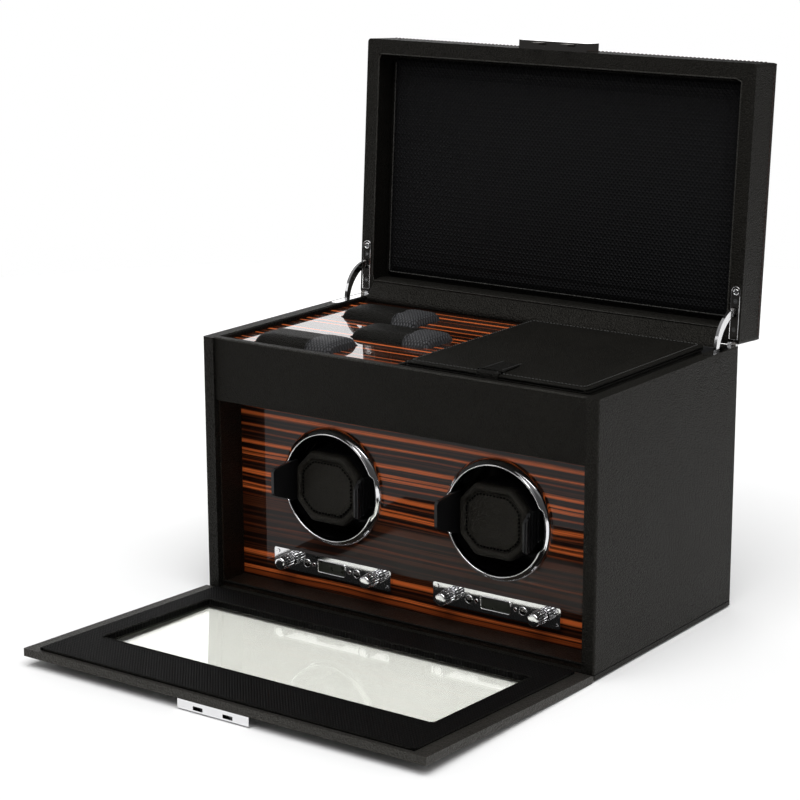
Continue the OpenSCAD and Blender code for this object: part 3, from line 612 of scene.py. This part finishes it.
# ------------------------------------------------------------------ padded pieces
def puff(o, voxel, pressure, cap, frames=16, pin=None, shrink=0.0):
    """Swells a closed mesh as stuffed leather: cloth under pressure, its movement capped, then baked into the mesh."""
    bpy.context.view_layer.objects.active = o
    for x in bpy.context.selected_objects:
        x.select_set(False)
    o.select_set(True)
    r = o.modifiers.new("r", "REMESH")
    r.mode = "VOXEL"
    r.voxel_size = voxel
    bpy.ops.object.modifier_apply(modifier="r")
    n = len(o.data.vertices)
    base = np.zeros(n * 3)
    o.data.vertices.foreach_get("co", base)
    base = base.reshape(-1, 3)
    c = o.modifiers.new("c", "CLOTH")
    c.settings.quality = 5
    c.settings.mass = 0.3
    c.settings.tension_stiffness = 12
    c.settings.compression_stiffness = 12
    c.settings.shear_stiffness = 5
    c.settings.bending_stiffness = 0.6
    c.settings.use_pressure = True
    c.settings.uniform_pressure_force = pressure
    c.settings.effector_weights.gravity = 0
    c.collision_settings.use_collision = False
    if pin is not None:
        g = o.vertex_groups.new(name="held")
        for i in range(n):
            if pin(base[i]):
                g.add([i], 1.0, "REPLACE")
        c.settings.vertex_group_mass = "held"
    for f in range(1, frames + 1):
        sc.frame_set(f)
    bpy.ops.object.modifier_apply(modifier="c")
    sc.frame_set(1)
    now = np.zeros(n * 3)
    o.data.vertices.foreach_get("co", now)
    d = now.reshape(-1, 3) - base
    length = np.linalg.norm(d, axis=1, keepdims=True)
    k = np.minimum(1.0, cap / np.maximum(length, 1e-9))
    o.data.vertices.foreach_set("co", (base + d * k).ravel())
    o.data.update()
    o.data.polygons.foreach_set("use_smooth", [True] * len(o.data.polygons))
    s = o.modifiers.new("calm", "SMOOTH")
    s.factor = 0.5
    s.iterations = 3
    bpy.ops.object.modifier_apply(modifier="calm")
    subsurf(o, 1)
    return o


# storage cushions: leather body, embossed sleeve on the right end
for i in (1, 2, 3):
    lo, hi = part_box("pillow_%d" % i)
    cx, cy = (lo.x + hi.x) / 2, (lo.y + hi.y) / 2
    w, d = (hi.x - lo.x) / 2 - 0.0006, (hi.y - lo.y) / 2 - 0.0006
    z0, z1 = lo.z, hi.z - 0.0002
    zm, hh = (z0 + z1) / 2, (z1 - z0) / 2
    cut = cx + w * 0.38
    vs, fs = [], []
    nx, na = 30, 40
    for a in range(nx + 1):
        t = -1 + 2 * a / nx
        x = cx + w * math.copysign(abs(math.sin(t * math.pi / 2)) ** 0.9, t)
        u = (x - cx) / w
        # ends: short square shoulder on the left, full steep dome on the right
        e = (1 - min(1.0, max(0.0, (abs(u) - 0.86) / 0.14)) ** 2.4) ** 0.5 if abs(u) < 1 else 0.0
        swell = 1.0
        if x < cut:
            swell = 0.985
        for b in range(na):
            g = 2 * math.pi * b / na
            c, s = math.cos(g), math.sin(g)
            y = d * math.copysign(abs(c) ** 0.40, c) * (0.93 + 0.07 * e)
            z = hh * math.copysign(abs(s) ** 0.40, s) * (0.62 + 0.38 * e) * swell
            vs.append((x, cy + y * (1 if swell == 1.0 else 0.985), zm + z - (1 - swell) * hh * 0.3))
    for a in range(nx):
        for b in range(na):
            c = (b + 1) % na
            fs.append((a * na + b, a * na + c, (a + 1) * na + c, (a + 1) * na + b))
    fs.append(tuple(reversed(range(na))))
    fs.append(tuple(nx * na + b for b in range(na)))
    p = obj("cushion_%d" % i, vs, fs, M["leather_soft"], None)
    puff(p, 0.0019, 3.5, 0.0007, 12)
    # the right-hand sleeve gets the weave with painted highlights on its scales
    p.data.materials.append(M["weave_end_painted_highlight"])
    for f in p.data.polygons:
        if f.center.x > cut + 0.0008 * math.sin(f.center.y * 300):
            f.material_index = 1
    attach(p, "storage_pillow_%d" % i)
    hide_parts("pillow_%d" % i)
    # turned edge where the sleeve begins
    ring = []
    for b in range(48):
        g = 2 * math.pi * b / 48
        c, s = math.cos(g), math.sin(g)
        ring.append((cut, cy + 0.99 * d * math.copysign(abs(c) ** 0.40, c), zm + 0.985 * hh * math.copysign(abs(s) ** 0.40, s)))
    vs, fs = tube(ring, 0.00045, 6)
    obj("cushion_%d_welt" % i, vs, fs, M["weave_end_painted_highlight"], "storage_pillow_%d" % i)

# winder cuff faces: raised rolled border, sewn inner field
OCT = [(-16, -28.5), (16, -28.5), (30.5, -13.5), (30.5, 13.5), (16, 28.5), (-16, 28.5), (-30.5, 13.5), (-30.5, -13.5)]
INN = [(-14, -22.8), (14, -22.8), (25.8, -12), (25.8, 12), (14, 22.8), (-14, 22.8), (-25.8, 12), (-25.8, -12)]
OCT = [(a * MM, b * MM) for a, b in OCT]
INN = [(a * MM, b * MM) for a, b in INN]
for side, cx in (("left", -0.077), ("right", 0.077)):
    lo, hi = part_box("cuff_pad_" + side)
    cz = (lo.z + hi.z) / 2
    yb, yf = hi.y, lo.y
    body = "cuff_l" if side == "left" else "cuff_r"
    rings = [(OCT, 0.9, 0.0), (OCT, 0.3, 0.8), (OCT, 0.1, 2.2), (OCT, 0.1, 4.6), (OCT, 0.5, 6.2), (OCT, 1.4, 7.4), (OCT, 2.6, 8.05), (OCT, 3.8, 8.15)]
    rings += [(INN, 0.1, 7.7), (INN, 0.4, 6.2), (INN, 0.8, 4.9), (INN, 1.4, 4.9), (INN, 1.8, 6.2), (INN, 2.6, 7.0), (INN, 4.5, 7.4), (INN, 8, 7.7), (INN, 13, 7.95)]
    vs, fs = [], []
    cnt = None
    for poly, d, h in rings:
        q = rounded_poly(poly, d * MM, max(1.0, 7.0 - d * 0.4) * MM, 6)
        cnt = len(q)
        for x, z in q:
            vs.append((cx + x, yb - h * MM, cz + z))
    for a in range(len(rings) - 1):
        for b in range(cnt):
            c = (b + 1) % cnt
            fs.append((a * cnt + b, (a + 1) * cnt + b, (a + 1) * cnt + c, a * cnt + c))
    vs.append((cx, yb - 8.0 * MM, cz))
    last = (len(rings) - 1) * cnt
    for b in range(cnt):
        fs.append((last + b, len(vs) - 1, last + (b + 1) % cnt))
    fs.append(tuple(range(cnt)))
    bm = bmesh.new()
    me = bpy.data.meshes.new("t")
    me.from_pydata(vs, [], fs)
    bm.from_mesh(me)
    p = from_bm("cuff_face_" + side, bm, M["leather_cuff"], None)
    puff(p, 0.0008, 2.5, 0.0003, 10)
    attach(p, body)
    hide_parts("cuff_pad_" + side)
    q = rounded_poly(INN, 2.6 * MM, 4.6 * MM, 5)
    path = [(cx + x, yb - 7.2 * MM, cz + z) for x, z in q]
    # cuff stitches in the near-black material that paints the holes' shade
    stitches("cuff_stitch_" + side, path, (0, -1, 0), M["hole"], body, 0.0030, 0.0019, 0.00070)

# travel case: tray, padded cover, strap
lo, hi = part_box("travel_tray")
tl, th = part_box("travel_lid")
X0, X1, Y0, Y1 = lo.x, hi.x, lo.y, hi.y
ZS = hi.z
bm = rbox_bm(X0 + 0.0002, X1 - 0.0002, Y0 + 0.0002, Y1 - 0.0002, lo.z, 0.2083, 0.0042, 4)
top = max((f for f in bm.faces if f.normal.z > 0.99), key=lambda f: f.calc_center_median().z)
new = bmesh.ops.extrude_discrete_faces(bm, faces=[top])["faces"][0]
bmesh.ops.translate(bm, verts=list(new.verts), vec=(0, 0, lo.z + 0.0042 - 0.2083))
new.material_index = 1
for e in new.edges:
    for f in e.link_faces:
        f.material_index = 1
tray = from_bm("travel_case_tray", bm, M["leather_fine"], "travel_case")
tray.data.materials.append(M["felt"])
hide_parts("travel_tray")
ZT2 = 0.2083 + 0.0042
bm = rbox_bm(X0, X1, Y0, Y1, 0.2084, ZT2 - 0.0006, 0.0019, 4)
bmesh.ops.subdivide_edges(bm, edges=[e for e in bm.edges if e.calc_length() > 0.1], cuts=6, use_grid_fill=True)
cover = from_bm("travel_case_cover", bm, M["leather_fine"], None)
puff(cover, 0.0016, 2.0, 0.0006, 8, pin=lambda c: c[2] < 0.2095)
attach(cover, "travel_cover")
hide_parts("travel_lid")
stitches("travel_stitch", rr_path(X0 + 0.0034, X1 - 0.0034, Y0 + 0.0034, Y1 - 0.0034, ZT2 + 0.00002, 0.003), (0, 0, 1),
         M["thread_pale"], "travel_cover", 0.0031, 0.0019, 0.00038)
vs, fs = tube(rr_path(X0 + 0.0006, X1 - 0.0006, Y0 + 0.0006, Y1 - 0.0006, ZT2 - 0.0017, 0.004), 0.0009, 8)
obj("travel_piping", vs, fs, M["leather_soft"], "travel_cover")
vs, fs = tube(rr_path(X0 + 0.0006, X1 - 0.0006, Y0 + 0.0006, Y1 - 0.0006, ZS - 0.0004, 0.004), 0.0008, 8)
obj("travel_cover_bead", vs, fs, M["leather_soft"], "travel_cover")
vs, fs = tube(rr_path(X0 + 0.0042, X1 - 0.0042, Y0 + 0.0042, Y1 - 0.0042, 0.2075, 0.002), 0.0007, 8)
obj("travel_tray_piping", vs, fs, M["leather_soft"], "travel_case")
# strap: a flat tongue over the front edge, held by a keeper loop
SX = (X0 + X1) / 2 - 0.005
path = [(Y0 + 0.034, ZT2 + 0.0007), (Y0 + 0.022, ZT2 + 0.0008), (Y0 + 0.010, ZT2 + 0.0009), (Y0 + 0.003, ZT2 + 0.0009), (Y0 + 0.0004, ZT2 + 0.0006),
        (Y0 - 0.0009, ZT2 - 0.0009), (Y0 - 0.0010, ZT2 - 0.005), (Y0 - 0.0010, ZT2 - 0.011), (Y0 - 0.0010, ZT2 - 0.0165)]
vs, fs = [], []
for k, (y, z) in enumerate(path):
    hw_ = 0.0095 if k > 0 else 0.0068
    if k == len(path) - 1:
        hw_ = 0.0068
    for j in range(7):
        t = -1 + j / 3
        vs.append((SX + hw_ * t, y, z))
for k in range(len(path) - 1):
    for j in range(6):
        fs.append((k * 7 + j, k * 7 + j + 1, (k + 1) * 7 + j + 1, (k + 1) * 7 + j))
strap = obj("travel_strap", vs, fs, M["leather_soft"], "travel_cover")
s = strap.modifiers.new("thick", "SOLIDIFY")
s.thickness = 0.0013
s.offset = 0
subsurf(strap, 2)
for k in (-1, 1):
    stitches("strap_stitch_%d" % (k + 2), [(SX + k * 0.0076, y, z + 0.00075) for y, z in path[:5]], (0, 0, 1), M["thread_light"],
             "travel_cover", 0.0026, 0.0017, 0.00026, closed=False)
loop = []
for k in range(24):
    a = 2 * math.pi * k / 24
    loop.append((SX + 0.0110 * math.copysign(abs(math.cos(a)) ** 0.4, math.cos(a)), Y0 + 0.0055, ZT2 + 0.0006 + 0.0013 * math.copysign(abs(math.sin(a)) ** 0.5, math.sin(a))))
vs, fs = [], []
for x, y, z in loop:
    vs += [(x, y - 0.0022, z), (x, y + 0.0022, z)]
n = len(loop)
for k in range(n):
    j = (k + 1) % n
    fs.append((2 * k, 2 * k + 1, 2 * j + 1, 2 * j))
kp = obj("strap_keeper", vs, fs, M["leather_soft"], "travel_cover")
s = kp.modifiers.new("thick", "SOLIDIFY")
s.thickness = 0.0008
s.offset = 0
subsurf(kp, 1)

# lid lining: padded panel embossed with scales, gathered into its sewn edge
P0 = (-0.1655, 0.1655, -0.0962, 0.0880)
ZL = 0.2100 + 0.0135
nx, ny = 200, 110
vs, fs = [], []
for j in range(ny + 1):
    for i in range(nx + 1):
        u, v = i / nx, j / ny
        x = P0[0] + (P0[1] - P0[0]) * u
        y = P0[2] + (P0[3] - P0[2]) * v
        e = min(x - P0[0], P0[1] - x, y - P0[2], P0[3] - y)
        side = 0 if e in (x - P0[0], P0[1] - x) else 1
        t = y if side == 0 else x
        # gathers fade out a short way in from the edge
        gather = math.exp(-(e / 0.0105) ** 1.4) * (0.6 * math.sin(t * 1150 + 3.0 * math.sin(t * 61)) + 0.4 * math.sin(t * 710 + 1.7)) * 0.00045
        drop = 0.0050 * math.exp(-(e / 0.0042) ** 1.15)
        ruck = 0.00055 * math.exp(-(((e - 0.0125) / 0.0022) ** 2))
        vs.append((x, y, ZL + 0.0012 + drop + ruck + gather * min(1.0, e / 0.0015) - 0.0011 * (math.sin(math.pi * u) * math.sin(math.pi * v)) ** 0.5))
for j in range(ny):
    for i in range(nx):
        a = j * (nx + 1) + i
        fs.append((a, a + nx + 1, a + nx + 2, a + 1))
pad = obj("lid_lining", vs, fs, M["weave_lid"], "lid", LID)
sol = pad.modifiers.new("thick", "SOLIDIFY")
sol.thickness = 0.0012
sol.offset = -1
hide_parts("lid_pad")
q = rr_path(P0[0] + 0.0012, P0[1] - 0.0012, P0[2] + 0.0012, P0[3] - 0.0012, ZL + 0.0052, 0.003)
vs, fs = tube(resample(q, 0.004), 0.0011, 8)
obj("lid_lining_piping", vs, fs, M["leather_soft"], "lid", LID)
# seam line along the lining's left and rear edges, in pale leather that paints its highlight
q = [(P0[0] + 0.0030, P0[2] + 0.006 + (P0[3] - P0[2] - 0.0095) * k / 90, ZL + 0.0033) for k in range(91)]
q += [(P0[0] + 0.0034 + (P0[1] - P0[0] - 0.0068) * k / 150, P0[3] - 0.0030, ZL + 0.0033) for k in range(1, 151)]
vs, fs = tube([(x, y, z - 0.00035 * (k % 2)) for k, (x, y, z) in enumerate(q)], 0.00055, 6, closed=False)
obj("lid_lining_seam", vs, fs, M["seam_painted_highlight"], "lid", LID)
vs, fs = [], []
q0 = rr_path(-0.1674, 0.1674, -0.0974, 0.0914, ZL + 0.0066, 0.003)
q1 = rr_path(P0[0], P0[1], P0[2], P0[3], ZL + 0.0064, 0.004)
for a, b in zip(q0, q1):
    vs += [a, b]
n = len(q0)
for k in range(n):
    j = (k + 1) % n
    fs.append((2 * k, 2 * k + 1, 2 * j + 1, 2 * j))
obj("lid_lining_margin", vs, fs, M["leather_lid"], "lid", LID)

# leather gusset that closes the hinge line between case and lid
prof = [(94.2, 205.9), (94.2, 208.9), (96.2, 211.6), (99.4, 215.0), (102.6, 218.9), (106.0, 221.9), (110.0, 223.1), (115.0, 223.1), (122.6, 222.3)]
vs, fs = [], []
nx = 40
for i in range(nx + 1):
    x = -0.1665 + 0.333 * i / nx
    for y, z in prof:
        vs.append((x, y * MM, z * MM))
n = len(prof)
for i in range(nx):
    for k in range(n - 1):
        fs.append((i * n + k, i * n + k + 1, (i + 1) * n + k + 1, (i + 1) * n + k))
gus = obj("hinge_gusset", vs, fs, M["leather_lid"], None)
sol = gus.modifiers.new("thick", "SOLIDIFY")
sol.thickness = 0.0010
sol.offset = 0
subsurf(gus, 2)
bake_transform(gus)

# ------------------------------------------------------------------ chrome rings
for side, cx in (("left", -0.077), ("right", 0.077)):
    lo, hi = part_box("ring_" + side)
    cz = (lo.z + hi.z) / 2
    yp = -0.0725
    prof = [(42.1, -0.2), (42.1, 5.0), (42.2, 5.55), (42.5, 5.9), (42.95, 5.98), (43.4, 5.8), (43.8, 5.35), (44.3, 5.0), (45.2, 4.45), (46.1, 3.7), (46.85, 2.75),
            (47.3, 1.8), (47.5, 0.9), (47.5, 0.3)]

    def mod(a, r, h):
        z = 44 * abs(math.sin(a))
        t = min(1, max(0, (17.2 - z) / 3.4))
        t = t * t * (3 - 2 * t)
        k = max(0, (47.5 - r) / 5.4)
        return (r + 2.1 * t * k), h - 1.5 * t * k * (1 if h > 2.0 else 0)

    vs, fs = lathe(prof, 192, mod=mod)
    vs = [(cx + x * MM, yp - y * MM, cz + z * MM) for x, y, z in vs]
    r = obj("rotor_ring_" + side, vs, fs, M["chrome"], "rotor_l" if side == "left" else "rotor_r")
    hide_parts("ring_" + side)
    subsurf(r, 1)
    # ribbed lining inside the cup
    vs, fs = lathe([(42.35, -2.0), (42.35, 3), (42.1, 4), (42.1, 12), (41.6, 12.5), (41.6, 13.5), (42.1, 14), (42.1, 30), (41.6, 30.5), (41.6, 31.5), (42.1, 32), (42.1, 51)], 128)
    vs = [(cx + x * MM, yp + y * MM, cz + z * MM) for x, y, z in vs]
    obj("cup_lining_" + side, vs, fs, M["cup"], "rotor_l" if side == "left" else "rotor_r")

# ------------------------------------------------------------------ knobs
def flute(prof, flutes, depth, y0, y1, seg):
    def mod(a, r, y):
        if y0 <= y <= y1:
            k = min(1.0, max(0.0, (0.5 - 0.5 * math.cos(a * flutes) - 0.22) / 0.56))
            r -= depth * k * k * (3 - 2 * k)
        return r, y
    return lathe(prof, seg, mod=mod)


for i, (sx, kx) in enumerate(((-1, -1), (-1, 1), (1, -1), (1, 1)), 1):
    lo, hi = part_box("knob_%d" % i)
    cx, cz = (lo.x + hi.x) / 2, (lo.z + hi.z) / 2
    yp = -0.0755
    prof = [(0.0, 13.85), (3.0, 13.85), (4.2, 13.8), (4.6, 13.6), (4.85, 13.2), (5.15, 12.8), (5.2, 12.4), (5.3, 8.2), (5.1, 8.0), (5.1, 7.6), (5.35, 7.4), (5.6, 6.6),
            (5.65, 1.6), (5.4, 1.3), (4.6, 1.1), (4.6, 0.35), (0.0, 0.35)]
    vs, fs = flute(prof, 14, 1.0, 1.5, 12.9, 224)
    vs = [(cx + x * MM, yp - y * MM, cz + z * MM) for x, y, z in vs]
    k = obj("knob_cap_%d" % i, vs, fs, M["chrome"], "control_knob_%d" % i)
    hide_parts("knob_%d" % i)
    k.data.materials.append(M["satin"])
    for f in k.data.polygons:
        c = f.center
        rad, out = math.hypot(c.x - cx, c.z - cz) / MM, (yp - c.y) / MM
        if (1.6 < out < 12.6 and 3.0 < rad < 4.85) or (7.6 < out < 8.05 and rad > 3.0):
            f.material_index = 1
    e = k.modifiers.new("split", "EDGE_SPLIT")
    e.split_angle = math.radians(50)

for i in (1, 2, 3, 4):
    lo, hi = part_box("button_%d" % i)
    cx, cz = (lo.x + hi.x) / 2, (lo.z + hi.z) / 2
    prof = [(0.0, 1.15), (1.2, 1.12), (1.9, 1.0), (2.3, 0.75), (2.55, 0.35), (2.58, 0.0), (2.58, -9.5), (0.0, -9.5)]
    vs, fs = lathe(prof, 48)
    vs = [(cx + x * MM, -0.0755 - y * MM, cz + z * MM) for x, y, z in vs]
    k = obj("button_cap_%d" % i, vs, fs, M["nickel"], "push_button_%d" % i)
    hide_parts("button_%d" % i)

# bezels round the displays, the buttons and the lights
for side, cx in (("left", -0.077), ("right", 0.077)):
    lo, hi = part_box("control_plate_" + side)
    cz = (lo.z + hi.z) / 2
    q = rr_path(cx - 0.0133, cx + 0.0133, cz - 0.0050, cz + 0.0050, 0, 0.0012, 4)
    q = [(p.x, -0.0756, p.y) for p in q]
    vs, fs = tube(q, 0.0006, 8)
    obj("display_bezel_" + side, vs, fs, M["chrome"], "case")
    for k, dx in enumerate((-24.2, 24.2)):
        q = [(cx + dx * MM + 0.0031 * math.cos(a * math.pi / 16), -0.0756, cz + 0.0031 * math.sin(a * math.pi / 16)) for a in range(32)]
        vs, fs = tube(q, 0.00045, 8)
        obj("button_bezel_%s_%d" % (side, k), vs, fs, M["chrome"], "case")
    for k, dx in enumerate((-17.5, 17.5)):
        q = [(cx + dx * MM + 0.0014 * math.cos(a * math.pi / 12), -0.0756, cz + 0.0014 * math.sin(a * math.pi / 12)) for a in range(24)]
        vs, fs = tube(q, 0.0003, 6)
        obj("light_bezel_%s_%d" % (side, k), vs, fs, M["chrome"], "case")

# ------------------------------------------------------------------ seams and trim of the leather case
# stitched seams in the joint round the lid's shell
LT = 0.2100 + 0.0390
for s_ in (-1, 1):
    q = [(s_ * 0.18012, 0.100, LT - 0.0095), (s_ * 0.18012, -0.103, LT - 0.0095)]
    stitches("lid_seam_%d" % (s_ + 1), q, (s_, 0, 0), M["thread_rust"], "lid", 0.0036, 0.0026, 0.00034, closed=False, xf=LID)
q = [(-0.174, -0.10962, LT - 0.0095), (0.174, -0.10962, LT - 0.0095)]
stitches("lid_seam_front", q, (0, -1, 0), M["thread_rust"], "lid", 0.0036, 0.0026, 0.00034, closed=False, xf=LID)
# turned leather round the rim's inner edge
# the lighter leather on this edge tube paints the rim's edge highlight
q = [Vector(p) for p in rr_path(-0.16815, 0.16815, -0.09765, 0.09165, 0.2102, 0.0015, 3)]
vs, fs = tube(resample(q, 0.006), 0.0006, 8)
obj("lid_rim_edge", vs, fs, M["leather_edge_painted_highlight"], "lid", LID)
for s_ in (-1, 1):
    xc = s_ * 0.1745
    q = [(xc - 0.0036, 0.0995, 0.20995), (xc - 0.0036, 0.0625, 0.20995)]
    q += [(xc - 0.0036 * math.cos(a * math.pi / 12), 0.0625 - 0.0036 * math.sin(a * math.pi / 12), 0.20995) for a in range(1, 12)]
    q += [(xc + 0.0036, 0.0625, 0.20995), (xc + 0.0036, 0.0995, 0.20995)]
    vs, fs = tube(q, 0.00032, 6)
    obj("lid_leaf_rim_%d" % (s_ + 1), vs, fs, M["steel"], "lid", LID)
    q = [(xc + 0.0021 * math.cos(a * math.pi / 12), 0.0630 + 0.0021 * math.sin(a * math.pi / 12), 0.20990) for a in range(24)]
    vs, fs = tube(q, 0.00045, 6)
    obj("lid_leaf_ring_%d" % (s_ + 1), vs, fs, M["chrome"], "lid", LID)
# door: sewn line near the outer edge of the frame, piping round the raised panel and the window
q = [(-0.1775, -0.10394, 0.0072), (-0.1775, -0.10394, 0.2070), (0.1775, -0.10394, 0.2070), (0.1775, -0.10394, 0.0072)]
stitches("door_stitch", q, (0, 1, 0), M["thread"], "door", 0.0034, 0.0024, 0.00028, closed=False, xf=DOOR)
q = [Vector((p.x, -0.1027, p.y)) for p in rr_path(-0.1670, 0.1670, 0.0074, 0.2048, 0, 0.003)]
vs, fs = tube(resample(q, 0.004), 0.0009, 8)
obj("door_panel_piping", vs, fs, M["leather_soft"], "door", DOOR)
q = [Vector((p.x, -0.1020, p.y)) for p in rr_path(-0.1500, 0.1500, 0.0363 - 0.0005, 0.1583 + 0.0005, 0, 0.002)]
vs, fs = tube(resample(q, 0.004), 0.0007, 8)
obj("door_window_piping", vs, fs, M["leather_soft"], "door", DOOR)
# bay: thin turned edges on the lining
for s_ in (-1, 1):
    vs, fs = tube([(s_ * 0.1688, -0.0976, 0.0098), (s_ * 0.1688, -0.0976, 0.060), (s_ * 0.1688, -0.0976, 0.110), (s_ * 0.1688, -0.0976, 0.1592)], 0.0008, 8, closed=False)
    obj("bay_edge_%d" % (s_ + 1), vs, fs, M["leather_bay"], "case")
vs, fs = tube([(-0.168, -0.0974, 0.0097), (-0.08, -0.0974, 0.0097), (0.08, -0.0974, 0.0097), (0.168, -0.0974, 0.0097)], 0.0009, 8, closed=False)
obj("bay_sill_edge", vs, fs, M["leather_soft"], "case")

# rolled top edge of the fascia, in lighter leather that paints its edge highlight
vs, fs = tube([(-0.1695, -0.10085, 0.20895), (-0.06, -0.10085, 0.20895), (0.06, -0.10085, 0.20895), (0.1695, -0.10085, 0.20895)], 0.0008, 8, closed=False)
obj("fascia_edge", vs, fs, M["leather_edge_painted_highlight"], "case")
for s_ in (-1, 1):
    vs, fs = tube([(s_ * 0.1700, -0.10155, 0.1615), (s_ * 0.1700, -0.10155, 0.185), (s_ * 0.1700, -0.10155, 0.2085)], 0.00045, 6, closed=False)
    obj("fascia_seam_%d" % (s_ + 1), vs, fs, M["thread_rust"], "case")
# lining strip on the left inner wall above the deck, and the divider's cap
bm = rbox_bm(-0.1697, -0.1680, -0.0949, 0.0944, 0.2050, 0.2090, 0.0005, 2)
from_bm("deck_wall_lining", bm, M["leather_soft"], "case")
bm = rbox_bm(-0.0022, 0.0008, -0.0948, 0.0943, 0.2040, 0.2088, 0.0009, 3)
from_bm("well_divider_cap", bm, M["leather_soft"], "case")

# ------------------------------------------------------------------ floor, light, camera
fm = Mat("floor_pale")
v = fm.coords()
fm.col(fm.mix(fm.noise(v, 3, 2), (0.90, 0.90, 0.90), (0.92, 0.92, 0.92)))
fm.rough(fm.ramp(fm.noise(v, 6, 2), [(0.3, (0.7,) * 3), (0.7, (0.8,) * 3)]))
fm.set(Specular_IOR_Level=0.2)
me = bpy.data.meshes.new("floor")
R = 1.45
me.from_pydata([(R * math.cos(a * math.pi / 48), R * math.sin(a * math.pi / 48), 0) for a in range(96)], [], [tuple(range(96))])
floor = bpy.data.objects.new("floor", me)
sc.collection.objects.link(floor)
me.materials.append(fm.m)

w = bpy.data.worlds.new("studio")
sc.world = w
w.use_nodes = True
wt = w.node_tree
bg = wt.nodes["Background"]
lp = wt.nodes.new("ShaderNodeLightPath")
tc = wt.nodes.new("ShaderNodeTexCoord")
sx = wt.nodes.new("ShaderNodeSeparateXYZ")
wt.links.new(tc.outputs["Generated"], sx.inputs[0])
rmp = wt.nodes.new("ShaderNodeValToRGB")
e = rmp.color_ramp.elements
while len(e) < 4:
    e.new(0.5)
for k, (p_, c_) in enumerate(((0.0, 0.05), (0.42, 0.07), (0.52, 0.20), (1.0, 0.40))):
    e[k].position = p_
    e[k].color = (c_, c_, c_, 1)
wt.links.new(sx.outputs[2], rmp.inputs[0])
mx = wt.nodes.new("ShaderNodeMix")
mx.data_type = "RGBA"
ins = [k for k in mx.inputs if k.type == "RGBA"]
wt.links.new(lp.outputs["Is Camera Ray"], mx.inputs[0])
wt.links.new(rmp.outputs[0], ins[0])
ins[1].default_value = (1, 1, 1, 1)
wt.links.new([o for o in mx.outputs if o.type == "RGBA"][0], bg.inputs[0])
bg.inputs[1].default_value = 1.0


def area(name, loc, target, sx, sy, power, col=(1, 1, 1)):
    l = bpy.data.lights.new(name, "AREA")
    l.shape = "RECTANGLE"
    l.size, l.size_y = sx, sy
    l.energy = power
    l.color = col
    o = bpy.data.objects.new(name, l)
    sc.collection.objects.link(o)
    d = Vector(target) - Vector(loc)
    o.rotation_euler = d.to_track_quat("-Z", "Y").to_euler()
    o.location = loc
    o.visible_camera = False
    return o


sun = bpy.data.lights.new("overhead", "SUN")
sun.energy = 2.75
sun.angle = math.radians(62)
so = bpy.data.objects.new("overhead", sun)
sc.collection.objects.link(so)
so.rotation_euler = Vector((0.20, -0.26, 0.94)).to_track_quat("Z", "Y").to_euler()
area("side_soft", (2.3, 1.3, 0.9), (0.1, 0, 0.12), 1.5, 1.3, 13)
area("back_left_soft", (-1.02, 1.30, 0.57), (-0.1, 0, 0.2), 0.9, 0.55, 2.9)
area("left_soft", (-2.1, 0.5, 0.55), (-0.1, 0, 0.15), 1.7, 0.8, 6.0)
area("front_soft", (-1.9, -2.4, 1.3), (0, -0.05, 0.12), 1.2, 1.2, 5)

az, el, roll = math.radians(35.47875), math.radians(14.90322), math.radians(-0.16205)
back = Vector((math.sin(az) * math.cos(el), -math.cos(az) * math.cos(el), math.sin(el)))
right = Vector((0, 0, 1)).cross(back).normalized()
up = back.cross(right)
c, s = math.cos(roll), math.sin(roll)
r2, u2 = right * c + up * s, right * -s + up * c
cam = bpy.data.cameras.new("view")
cam.lens = 107.245
cam.sensor_width = 36
cam.shift_x = -0.01218
cam.shift_y = 0.04535
cam.clip_end = 100
co = bpy.data.objects.new("view", cam)
sc.collection.objects.link(co)
co.matrix_world = Matrix(((r2.x, u2.x, back.x, 1.0063), (r2.y, u2.y, back.y, -1.4895), (r2.z, u2.z, back.z, 0.6119), (0, 0, 0, 1)))
sc.camera = co
sc.view_settings.view_transform = "Standard"
sc.view_settings.look = "None"
